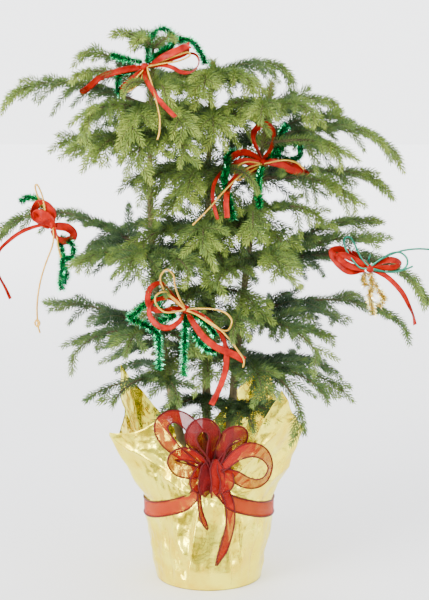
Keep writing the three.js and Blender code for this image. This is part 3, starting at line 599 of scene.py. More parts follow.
def along_twigs(twigs, owner, s):
    """Points and directions on twigs: start + length (way s - up sag s^2), and its slope."""
    way, length = twigs["way"][owner], twigs["length"][owner][:, None]
    sag, share = twigs["sag"][owner][:, None], s[:, None]
    return (twigs["start"][owner] + length * (way * share - UP * sag * share ** 2),
            unit(way - 2 * UP * sag * share))


def uncovered(twigs, places):
    """The twigs that hide none of the places: a twig is left out where its middle or its end lies
    before one of them on the line to the camera, by less than the clearing's depth and nearer that
    line than its radius."""
    everyone = np.arange(len(twigs["u"]))
    to_camera = unit(np.array(CAMERA_PLACE) / MM - places)
    hiding = np.zeros(len(everyone), bool)
    for share in (0.5, 0.9):
        between = along_twigs(twigs, everyone, np.full(len(everyone), share))[0][:, None] - places[None]
        before = np.sum(between * to_camera[None], -1)
        aside = np.linalg.norm(between - before[..., None] * to_camera[None], axis=-1)
        hiding |= np.any((before > 0) & (before < CLEARING.depth) & (aside < CLEARING.radius), 1)
    return {name: value[~hiding] for name, value in twigs.items()}


def needle_points(base, tangent, turn, length, spread, sweep, breadth):
    """Needles as slim curved bodies of five points: base, three corners round a knee that leans out
    by spread degrees, and a tip that bends forward to sweep degrees from the twig. The corners are
    square to the first stretch and a third of a turn apart, at (1, 0) and (-0.5, +-0.87)."""
    level = unit(np.cross(tangent, UP) + 1e-6 * FRONT)
    rise = np.cross(level, tangent)
    turn, length = turn[:, None], length[:, None]
    out = np.cos(turn) * level + np.sin(turn) * rise
    across = np.cross(tangent, out)
    spread, sweep = np.radians(spread)[:, None], np.radians(sweep)[:, None]
    first = np.cos(spread) * tangent + np.sin(spread) * out
    second = np.cos(sweep) * tangent + np.sin(sweep) * out
    square = np.cos(spread) * out - np.sin(spread) * tangent
    knee = base + NEEDLE.knee * length * first
    tip = knee + (1 - NEEDLE.knee) * length * second
    half = breadth / 2
    return np.stack([base, knee + half * square, knee + half * (0.87 * across - 0.5 * square),
                     knee - half * (0.87 * across + 0.5 * square), tip], 1)


NEEDLE_FACES = np.array([(0, 2, 1), (0, 3, 2), (0, 1, 3), (4, 1, 2), (4, 2, 3), (4, 3, 1)])


def needle_piece(name, needles, coat):
    """One piece of many needles or blades of film, each of five points."""
    faces = (NEEDLE_FACES[None] + 5 * np.arange(len(needles))[:, None, None]).reshape(-1, 3)
    piece(name, (needles.reshape(-1, 3), [faces]), coat, smooth=False)


def needles_on(base, tangent, turn, s, seed, count, habit, fresh, wide=0.0, longer=1.0):
    """Needles at shares s of a shoot, and the tone of each one's green: how fresh it is, with the painted
    shade that it is given. By chance they differ in length, lean and green, and by the shoot's habit they
    get shorter by 1 - shorter s^power, close up by closed s^power and get fresher by fresher (s - 1/2)."""
    size = NEEDLE.size + NEEDLE.size_scatter * chance(seed, count, 5)
    length = NEEDLE.length * longer * size * (1 - habit.shorter * s ** habit.shorter_power)
    closing = s ** habit.closed_power
    spread = (NEEDLE.spread + wide - habit.closed * closing
              + NEEDLE.scatter * (chance(seed, count, 6) - 0.5))
    sweep = (NEEDLE.sweep + wide - habit.closed_sweep * closing
             + NEEDLE.scatter * (chance(seed, count, 7) - 0.5))
    return (needle_points(base, tangent, turn, length, spread, sweep, NEEDLE.breadth),
            fresh + habit.fresher * (s - 0.5) + habit.fresh_scatter * (chance(seed, count, 8) - 0.5))


def dress_twigs(twigs, fresh):
    """Needles all round every twig."""
    numbers = np.maximum(1, np.round(twigs["length"] * NEEDLE.per_mm)).astype(int)
    owner = np.repeat(np.arange(len(numbers)), numbers)
    count = np.arange(numbers.sum()) - (np.cumsum(numbers) - numbers)[owner]
    s = (count + 0.5) / numbers[owner]
    seed = twigs["seed"][owner]
    return needles_on(*along_twigs(twigs, owner, s), count * GOLDEN_ANGLE + seed, s, seed, count,
                      TWIG_HABIT, fresh[owner])


def dress_axis(path, length, seed, start, fresh, per_mm, wide=0.0, longer=1.0):
    """Needles along one axis from a share of it to its end."""
    count = np.arange(int(length * (1 - start) * per_mm))
    s = start + (1 - start) * (count + 0.5) / len(count)
    return needles_on(*on_path(path, s), count * GOLDEN_ANGLE, s, seed, count, AXIS_HABIT, fresh, wide,
                      longer)


def dress_bough(path, bough, bare, height, seed, places):
    """The courses of one bough's twigs, and the needles of its twigs and of its own axis."""
    twigs = uncovered(twigs_of(path, bough, seed), places)
    high = (height - FRESH_AND_SHADE.from_height) / FRESH_AND_SHADE.over_height
    tone = (FRESH_AND_SHADE.least + FRESH_AND_SHADE.outwards * twigs["u"] + FRESH_AND_SHADE.upwards * high
            + FRESH_AND_SHADE.scatter * (chance(twigs["seed"], 1, 9) - 0.5))
    # Painted shade: boughs towards the back of the plant get darker needles, on their twigs and on their
    # own axis, by back.
    back = FRESH_AND_SHADE.back * np.sin(np.radians(bough[0]))
    steps = np.linspace(0, 1, 6)
    owner = np.repeat(np.arange(len(tone)), len(steps))
    courses = along_twigs(twigs, owner, np.tile(steps, len(tone)))[0].reshape(-1, len(steps), 3)
    first_needle = max(bare, 0) * 0.55 + 0.03
    axis_tone = FRESH_AND_SHADE.axis + FRESH_AND_SHADE.axis_upwards * high - back
    return courses, [dress_twigs(twigs, tone - back),
                     dress_axis(path, bough[1], seed, first_needle, axis_tone, NEEDLE.axis_per_mm)]


def grow(side, stem, places):
    """Everything that one stem bears: bough wood, twig wood and needles, joined each kind apart. Twigs
    that would hide the places are left out."""
    limbs, masses_stood_for, woods, wood_radii, courses, dresses = [], [], [], [], [], []
    for w, (height, masses) in enumerate(WHORLS[side]):
        for m, (bare, boughs) in enumerate(masses):
            label = f"{side}_{w + 1}{'abcdef'[m]}"
            masses_stood_for.append(f"foliage_{label}")
            if bare > 0:
                limbs.append(f"bough_{label}")
            root, fork = fork_of(stem, height - BOUGH.stagger * m, boughs, bare)
            for b, bough in enumerate(boughs):
                path = bough_path(fork, *bough[:4])
                wood = path if len(boughs) == 1 else np.vstack([root, path])
                radius = BOUGH.limb if bare > 0 else BOUGH.wood + BOUGH.thicker * bough[1]
                woods.append(on_path(wood, np.linspace(0, 1, BOUGH.rings))[0])
                wood_radii.append(np.linspace(radius, BOUGH.tip, BOUGH.rings))
                seed = stem.seed * 100 + w * 10 + m * 3 + b
                shoots, dress = dress_bough(path, bough, bare, height, seed, places)
                courses.append(shoots)
                dresses += dress
    leader = stem_point(stem, np.linspace(LEADER.start, stem.height, 60))
    dresses.append(dress_axis(leader, stem.height - LEADER.start, stem.seed, 0.0, LEADER.fresh,
                              LEADER.per_mm, wide=LEADER.wide, longer=LEADER.longer))

    relief = 1 + BOUGH.ridge * np.sin(np.arange(BOUGH.rings) * BOUGH.ridge_turn)
    form = tubes(np.stack(woods), np.stack(wood_radii) * relief, 8, NEARLY_UP)
    piece(f"bough_wood_{side}", form, bark, limbs)
    courses = np.concatenate(courses)
    radii = np.linspace(TWIG.base, TWIG.tip, courses.shape[1])[None]
    piece(f"twigs_{side}", tubes(courses, radii, 4, NEARLY_UP), green_wood, masses_stood_for)
    needles, fresh = (np.concatenate(column) for column in zip(*dresses))
    tone = np.clip(fresh * len(GREENS), 0, len(GREENS) - 1).astype(int)
    for i, green in enumerate(needle_greens):
        if np.any(tone == i):
            needle_piece(f"needles_{side}_{i + 1}", needles[tone == i], green)


# ---- foil, soil and ribbon

# Shares of the foil's way from foot to edge at which it gets to the tuck and to the waist.
TUCK_AT, WAIST_AT = 0.38, 0.5
# Folds of the foil: two ends as azimuth and height, how far it stands out, and how wide it is to the
# right and to the left of the fold, in millimetres. A narrow side is a ledge.
FOLDS = [
    (261, 106, 248, 2, 6.5, 16, 0.8),
    (257, 106, 244, 2, -2.5, 2, 10),
    (284, 106, 294, 2, 6.0, 0.8, 17),
    (262, 128, 206, 186, 5.5, 4, 13),
    (258, 126, 226, 172, -4.5, 5, 5),
    (256, 122, 232, 148, 3.5, 5, 8),
    (280, 130, 322, 210, 4.5, 9, 4),
    (284, 124, 338, 180, -4.0, 6, 8),
    (286, 120, 352, 150, 3.5, 8, 8),
    (300, 100, 304, 2, 2.6, 10, 2),
    (225, 96, 228, 2, -2.8, 3, 9),
    (320, 100, 318, 2, -2.2, 7, 3),
    (148, 110, 146, 248, 5.0, 5, 5),
    (160, 110, 170, 205, -4.0, 6, 8),
    (52, 110, 54, 246, 4.0, 8, 8),
    (35, 110, 22, 205, -3.5, 8, 6),
    (75, 110, 88, 195, -3.5, 8, 6),
]
# More folds of the same kind by chance. Pleats under the ribbon, from the sides round the back: first
# azimuth, degrees apart, how far their ends stray. Short ones all over: how far they lean out of
# upright, how long they are, and between which heights they start.
PLEATS = Sizes(count=13, first=300, apart=17.5, stray=9, top=104, depth=1.6, right=3, left=2, wider=8)
CRUMPLES = Sizes(count=110, lean=65, length=18, longer=34, low=4, over=215, depth=4.2, width=2, wider=10)
# The smooth front panel: its middle, its reach, how quiet its crumpling is and below what height.
PANEL = Sizes(azimuth=274, half_angle=26, quiet=0.8, height=112, ease=20)
# Slow waves of the sheet, then its fine crinkles as depth, size and seed, laid out at one radius, and
# how flat the ribbon presses it all and how far from its middle.
BILLOWS = Sizes(depth=1.1, across=14, up=34)
CRINKLES = ((1.6, 24, 31), (0.45, 9, 32))
CRINKLED_RADIUS = 80
PRESSED = Sizes(flat=0.9, reach=13)

# Potting mix: its foot, how far its heaped top lies under the level, its drop at the rim, and its clumps
# as depth, size and seed.
SOIL = Sizes(foot=20, foot_share=0.9, under=0.6, rim_drop=3.5, rim=57, rim_width=12, middle=0.6, rows=60,
            columns=160, clumps=((1.1, 5, 81), (0.8, 2.2, 82)))
# The ribbon round the foil stands this clear of its plain form. Its edges are dark round threads.
BAND = Sizes(clear=0.9, wall=0.3, columns=300)
EDGE_RADIUS = 1.0


def ribbon_height(azimuth):
    """Lower edge of the ribbon: level, plus two bell curves that draw it up towards the bow."""
    away = apart(azimuth, FRONT_AZIMUTH)
    return (RIBBON.side_height + RIBBON.broad_lift * np.exp(-((away / RIBBON.broad_angle) ** 2))
            + RIBBON.knot_lift * np.exp(-((away / RIBBON.knot_angle) ** 2)))


def foil_edge(azimuth):
    """Radius and height of the sheet's edge: from the plain edge to each petal's by the share
    (1 - away / breadth)^point of it that the azimuth is in."""
    radius = np.full(np.shape(azimuth), float(FOIL.edge))
    height = np.full(np.shape(azimuth), float(FOIL.edge_height))
    for at, tall, out, breadth in PETALS:
        share = np.maximum(0, 1 - apart(azimuth, at) / breadth) ** FOIL.petal_point
        radius += (out - FOIL.edge) * share
        height += (tall - FOIL.edge_height) * share
    return radius, height


def petal_places():
    """Places on the foil's petal at the left, from its edge down. The foliage leaves it in view."""
    azimuth = np.arange(*BARE_PETAL.azimuths)
    radius, height = foil_edge(azimuth)
    below = np.arange(*BARE_PETAL.below)[:, None]
    return (heading(azimuth) * (radius - BARE_PETAL.flare * below)[..., None]
            + UP * (height - below)[..., None]).reshape(-1, 3)


def pleats_by_chance():
    """Folds that run down evenly spaced azimuths, plus a stray by chance at either end."""
    k = np.arange(PLEATS.count)
    a, b, c = (chance(5, k, channel) for channel in (1, 2, 3))
    azimuth = PLEATS.first + PLEATS.apart * k
    return list(zip(azimuth + PLEATS.stray * a, PLEATS.top + 0 * k,
                    azimuth + PLEATS.stray * b, 0 * k, PLEATS.depth * (c - 0.4),
                    PLEATS.right + PLEATS.wider * a, PLEATS.left + PLEATS.wider * b))


def crumples_by_chance(arc):
    """Short folds at any azimuth and height: their run and rise are their length times sine and cosine
    of their lean. An arc is the millimetres of one degree round the waist."""
    k = np.arange(CRUMPLES.count)
    at, up, lean, long, deep, right, left = (chance(7, k, channel) for channel in range(1, 8))
    lean = CRUMPLES.lean * (2 * lean - 1)
    long = CRUMPLES.length + CRUMPLES.longer * long
    rise, run = long * np.cos(np.radians(lean)), long * np.sin(np.radians(lean)) / arc
    azimuth, height = 360 * at, CRUMPLES.low + CRUMPLES.over * up
    wide = [CRUMPLES.width + CRUMPLES.wider * side for side in (right, left)]
    return list(zip(azimuth, height, azimuth + run, height + rise, CRUMPLES.depth * (deep - 0.5), *wide))


def fold_relief(azimuth, height, arc, fold):
    """How far one fold stands out: depth exp(-across / width), faded out past both of its ends."""
    a0, z0, a1, z1, depth, right, left = fold
    middle = (a0 + a1) / 2
    x = ((azimuth - middle + 180) % 360 - 180) * arc
    x0, x1 = (a0 - middle) * arc, (a1 - middle) * arc
    along = ((x - x0) * (x1 - x0) + (height - z0) * (z1 - z0)) / ((x1 - x0) ** 2 + (z1 - z0) ** 2)
    across = ((x - x0) * (z1 - z0) - (height - z0) * (x1 - x0)) / np.hypot(x1 - x0, z1 - z0)
    if z1 < z0:
        across = -across
    width = np.where(across > 0, right, left)
    window = np.clip(along * 5 + 0.3, 0, 1) * np.clip((1.15 - along) * 4, 0, 1)
    return depth * np.exp(-np.abs(across) / width) * window


def foil_relief(azimuth, height):
    """How far the foil stands out of its plain form: folds, pleats, crumples, billows and crinkles
    added up, with less crumpling on the smooth front panel. The ribbon presses all of it flat where it
    passes, by a bell curve of the height."""
    arc = FOIL.waist * np.pi / 180
    panel = (azimuth - PANEL.azimuth) / PANEL.half_angle
    below = np.clip((PANEL.height - height) / PANEL.ease, 0, 1)
    quiet = 1 - PANEL.quiet * np.exp(-panel ** 4) * below
    crumpled = sum(fold_relief(azimuth, height, arc, fold) for fold in crumples_by_chance(arc))
    total = sum((fold_relief(azimuth, height, arc, fold) for fold in FOLDS + pleats_by_chance()),
                crumpled * quiet)
    waves = np.stack([azimuth * arc / BILLOWS.across, height / BILLOWS.up, 0 * azimuth], -1)
    total += BILLOWS.depth * lumps(waves, 1, 61)
    skin = CRINKLED_RADIUS * heading(azimuth) + height[..., None] * UP
    total += quiet * sum(depth * creases(skin, size, seed) for depth, size, seed in CRINKLES)
    tie = ribbon_height(azimuth) + RIBBON.width / 2
    return total * (1 - PRESSED.flat * np.exp(-((height - tie) / PRESSED.reach) ** 2))


def foil_form(azimuth, share):
    """Radius and height of the foil's outside at shares of the way from its foot to its edge: up the
    pot to the tuck, out to the waist, then on to the edge with the radius as a power of the height."""
    azimuth, v = np.broadcast_arrays(azimuth, share)
    waist = ribbon_height(azimuth) + RIBBON.width + FOIL.waist_rise
    shoulder = waist - RIBBON.width - FOIL.tuck
    edge, tall = foil_edge(azimuth)
    low = np.clip(v / TUCK_AT, 0, 1)
    mid = np.clip((v - TUCK_AT) / (WAIST_AT - TUCK_AT), 0, 1)
    high = np.clip((v - WAIST_AT) / (1 - WAIST_AT), 0, 1)
    shoulder_radius = FOIL.waist - FOIL.tuck_inset
    radius = (FOIL.foot + (shoulder_radius - FOIL.foot) * low + FOIL.tuck_inset * mid
              + (edge - FOIL.waist) * high ** FOIL.flare_bend)
    height = shoulder * low + (waist - shoulder) * mid + (tall - waist) * high
    return radius, height


def make_foil():
    """The wrap: its outside from the foot up to the edge, and its inside a wall's thickness within.
    Its relief fades in over the first twelfth of the way and its edge ripples over the last fifth."""
    rows, columns = FOIL.rows, FOIL.columns
    azimuth = np.linspace(0, 360, columns, endpoint=False)[None]
    v = np.linspace(0, 1, rows)[:, None]
    radius, height = foil_form(azimuth, v)
    radius = radius + foil_relief(azimuth + 0 * v, height) * np.clip(v * 12, 0, 1)
    ripple = lumps(np.stack([azimuth / 7 + 0 * v, 0 * radius, 0 * radius], -1), 1, 45)
    height = height + FOIL.ripple * ripple * np.clip((v - 0.8) * 5, 0, 1)
    out = heading(azimuth)
    outside = radius[..., None] * out + height[..., None] * UP
    inner_height = np.maximum(height, FOIL.wall)
    inside = (radius - FOIL.wall)[..., None] * out + inner_height[..., None] * UP
    skin = closed_form(np.concatenate([outside, inside[::-1]]), 0 * UP, FOIL.wall * UP)
    piece("gold_foil", skin, gold_foil, ["foil_wrap"])


def make_soil():
    """Potting mix: rings from the pot's wall to the middle, heaped by clumps of noise."""
    rows, columns = SOIL.rows, SOIL.columns
    radius = np.linspace(POT_INNER, SOIL.middle, rows)[:, None]
    turn = np.linspace(0, 2 * np.pi, columns, endpoint=False)[None]
    level = np.stack([radius * np.cos(turn), radius * np.sin(turn), 0 * radius * turn], -1)
    clumps = sum(depth * lumps(level, size, seed) for depth, size, seed in SOIL.clumps)
    at_rim = np.clip((radius - SOIL.rim) / SOIL.rim_width, 0, 1)
    top_level = SOIL_LEVEL - SOIL.under
    top = level + (top_level - SOIL.rim_drop * at_rim + clumps)[..., None] * UP
    foot = level[0] * SOIL.foot_share + SOIL.foot * UP
    clod = closed_form(np.concatenate([foot[None], top]), SOIL.foot * UP, top_level * UP)
    piece("potting_mix", clod, potting_mix, ["soil"])


def strip(path, across, widths, wall, cup):
    """Closed ribbon along a path, with the points along its two edges: points go across it from edge
    to edge, bowed out of its plane by cup (1 - x^2), on a front and a back skin a wall apart."""
    tangent = unit(np.gradient(path, axis=0))
    across = unit(across - np.sum(across * tangent, -1, keepdims=True) * tangent)
    face = np.cross(tangent, across)
    x = np.linspace(-1, 1, 7)
    flat = path[:, None] + across[:, None] * (x * widths[:, None] / 2)[..., None]
    bowed = flat + face[:, None] * (cup * (1 - x ** 2))[None, :, None]
    front, back = bowed + face[:, None] * wall / 2, bowed - face[:, None] * wall / 2
    loop = np.concatenate([front, back[:, ::-1]], 1)
    points, faces = closed_form(loop, loop[0].mean(0), loop[-1].mean(0))
    return points, [inward[:, ::-1] for inward in faces], bowed[:, 0], bowed[:, -1]


def make_band():
    """The ribbon round the foil: a sheer strip that follows its waist, with a dark edge along each side."""
    azimuth = np.linspace(0, 360, BAND.columns, endpoint=False)
    low = ribbon_height(azimuth)[:, None]
    height = low + RIBBON.width * np.linspace(0, 1, 6)
    rise = (height - (low - FOIL.tuck)) / (RIBBON.width + FOIL.tuck + FOIL.waist_rise)
    radius = FOIL.waist - FOIL.tuck_inset + FOIL.tuck_inset * rise + BAND.clear
    out = heading(azimuth)[:, None]
    outer = (radius + BAND.wall)[..., None] * out + height[..., None] * UP
    inner = radius[..., None] * out + height[..., None] * UP
    loop = np.concatenate([outer, inner[:, ::-1]], 1)
    form = loop.reshape(-1, 3), [quads(*loop.shape[:2], looped=True)[:, ::-1]]
    piece("band_sheer", form, band_organza, ["ribbon_band"])
    rims = [np.vstack([outer[:, edge], outer[:1, edge]]) for edge in (0, -1)]
    piece("band_edges", join([even_tube(rim, EDGE_RADIUS, 6, UP) for rim in rims]), organza_edge)


make_foil()
make_soil()
make_band()
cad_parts["pot"].data.materials.clear()
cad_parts["pot"].data.materials.append(pot_plastic)

# ---- the bow

KNOT = np.array([4.0, -88.2, 152.0])
# Routes of the bow's ribbon from its knot: right, up, forward, and how far the ribbon is turned out
# of the face that it shows in front, in degrees.
LOOPS = [
    [(2, 4, 4, 60), (-24, 20, 10, 35), (-45, 37, 15, 20), (-58, 54, 16, 15), (-59, 67, 13, 30),
     (-47, 74, 8, 50), (-32, 68, 3, 35), (-19, 53, 1, 25), (-9, 34, 0, 35), (-1, 12, 2, 60)],
    [(0, 4, 6, 60), (-8, 23, 10, 50), (-20, 37, 13, 42), (-25, 51, 13, 40), (-17, 63, 12, 40),
     (-4, 63, 11, 40), (3, 52, 10, 40), (0, 37, 8, 50), (-2, 20, 6, 60), (0, 6, 5, 70)],
    [(0, 3, 7, 50), (-15, 22, 12, 25), (-31, 30, 15, 15), (-43, 27, 15, 30), (-47, 18, 13, 60),
     (-38, 10, 10, 30), (-22, 6, 8, 30), (-3, 2, 6, 50)],
    [(2, 4, 3, 60), (9, 23, 5, 40), (12, 39, 6, 40), (22, 51, 6, 30), (34, 53, 5, 40), (38, 45, 4, 60),
     (28, 34, 3, 35), (14, 20, 2, 40), (2, 4, 2, 60)],
    [(2, 2, 5, 60), (16, 15, 10, 35), (31, 29, 13, 25), (46, 35, 14, 30), (61, 30, 13, 50),
     (69, 16, 12, 70), (65, 1, 11, 60), (54, -7, 10, 40), (40, -6, 9, 25), (27, 1, 8, 25), (13, 5, 6, 40),
     (2, 0, 4, 60)],
]
# Short folds that hang over the knot.
APRON = [[(-5, 20, 5, 50), (-12, 9, 10, 30), (-18, -5, 11, 20), (-14, -18, 10, 55)],
         [(-1, 22, 8, 35), (-6, 8, 13, 25), (-8, -9, 13, 25), (-5, -22, 10, 50)],
         [(4, 22, 8, 35), (6, 8, 13, 25), (7, -8, 13, 25), (2, -24, 10, 55)],
         [(8, 18, 5, 50), (15, 7, 10, 30), (18, -7, 11, 20), (11, -19, 10, 55)]]
# The loops and folds that stand in the shade of the others. They get the darker organza, as painted shade.
SHADED = (1, 3, 6)
# Tails: width, then right and up of their course down the foil and how far the ribbon is turned.
TAILS = [(10, [(-4, -4, 30), (-14, -20, 62), (-15, -36, 70), (-12, -52, 66), (-5, -68, 60)]),
         (11, [(2, -4, 30), (13, -16, 30), (21, -38, 25), (22, -62, 20), (15, -92, 25), (5, -116, 35)])]
# The bow's ribbon: steps along a run, thickness, how far a loop and a tail are cupped, how clear of the
# foil a tail stands, and the share at its end over which it tapers.
BOW = Sizes(steps=72, wall=0.25, cup=0.8, tail_cup=0.5, tail_clear=1.2, taper=0.15, knot_radius=6.5)
BOW_ASIDE = np.array([0.1, 0.9, 0.2])  # the reference of its edges' rings


def from_knot(knot, route):
    """Points in the plant's frame of a route told as right, up and forward from a knot."""
    route = np.asarray(route, float)
    return knot + route[:, :1] * [1, 0, 0] + route[:, 1:2] * UP + route[:, 2:3] * FRONT


def wrapped_knot(knot, radius):
    """The small tight middle of a bow: a leaning ball whose radius has folds round it,
    1 + 0.12 sin 5a + 0.06 sin(9a + 1)."""
    v = np.linspace(0, np.pi, 17)[1:-1]
    path = knot + np.outer(-np.cos(v), [0.2, 0, 1]) * radius * 1.1
    a = np.linspace(0, 2 * np.pi, 24, endpoint=False)
    folds = 1 + 0.12 * np.sin(5 * a) + 0.06 * np.sin(9 * a + 1)
    return tubes(path[None], (radius * np.sin(v)[:, None] * folds)[None], len(a), BACK)


def ribbon_run(path, turn, widths, wall, cup):
    """One run of ribbon: across = cos(turn) across the view + sin(turn) towards it, square to its
    path, with the points along its two edges."""
    turn = np.radians(turn)[:, None]
    level = unit(np.cross(unit(np.gradient(path, axis=0)), FRONT))
    return strip(path, np.cos(turn) * level + np.sin(turn) * FRONT, widths, wall, cup)


def resting_radius(x, z, half):
    """How far from the pot's axis the foil's outside stands under a strip: the most of three places
    across it."""
    most = np.zeros(len(x))
    for shift in (-half, 0, half):
        azimuth = FRONT_AZIMUTH + np.degrees(np.arctan2(x + shift, FOIL.waist))
        plain = np.interp(z, [0, ribbon_height(FRONT_AZIMUTH)], [FOIL.foot, FOIL.waist])
        most = np.maximum(most, plain + foil_relief(azimuth, z))
    return most


def bow_loop(route, share):
    """A loop, or a fold over the knot. It is gathered where it leaves the knot and comes back to it."""
    course = spline(route, BOW.steps)
    widths = RIBBON.width * (0.3 + 0.6 * np.minimum(1, np.minimum(share, 1.06 - share) / 0.25))
    return ribbon_run(from_knot(KNOT, course), course[:, 3], widths, BOW.wall, BOW.cup)


def bow_tail(width, route, share):
    """A tail: it comes down from the knot on to the foil, eased by 3s^2 - 2s^3 over the first third."""
    right, up, turn = spline(route, BOW.steps).T
    x, z = KNOT[0] + right, KNOT[2] + up
    radius = (resting_radius(x, z, width / 2) + BOW.tail_clear
              + width / 2 * np.abs(np.sin(np.radians(turn))))
    settle = np.clip(share / 0.35, 0, 1)
    settle = settle * settle * (3 - 2 * settle)
    y = (KNOT[1] - 4) * (1 - settle) - np.sqrt(radius ** 2 - x ** 2) * settle
    widths = width * (1 - 0.8 * np.clip((share - 1 + BOW.taper) / BOW.taper, 0, 1))
    return ribbon_run(np.stack([x, y, z], -1), turn, widths, BOW.wall, BOW.tail_cup)


def make_bow():
    """The bow's loops, the folds over its knot and its two tails, with a dark edge along each side."""
    share = np.linspace(0, 1, BOW.steps)
    runs = [bow_loop(route, share) for route in LOOPS + APRON]
    runs += [bow_tail(width, route, share) for width, route in TAILS]
    sheer = [run[:2] for i, run in enumerate(runs) if i not in SHADED]
    # The knot and the shaded loops and folds take the darker organza: painted shade.
    shaded_runs = [wrapped_knot(KNOT + 6 * FRONT + 8 * UP, BOW.knot_radius)] + [runs[i][:2] for i in SHADED]
    edges = np.stack([edge for run in runs for edge in run[2:]])
    piece("bow_sheer", join(sheer), bow_organza, ["ribbon_bow"])
    piece("bow_shaded", join(shaded_runs), shaded_organza)
    threads = tubes(edges, np.full(edges.shape[:2], EDGE_RADIUS), 6, BOW_ASIDE)
    piece("bow_edges", threads, organza_edge)


make_bow()

# ---- decorations

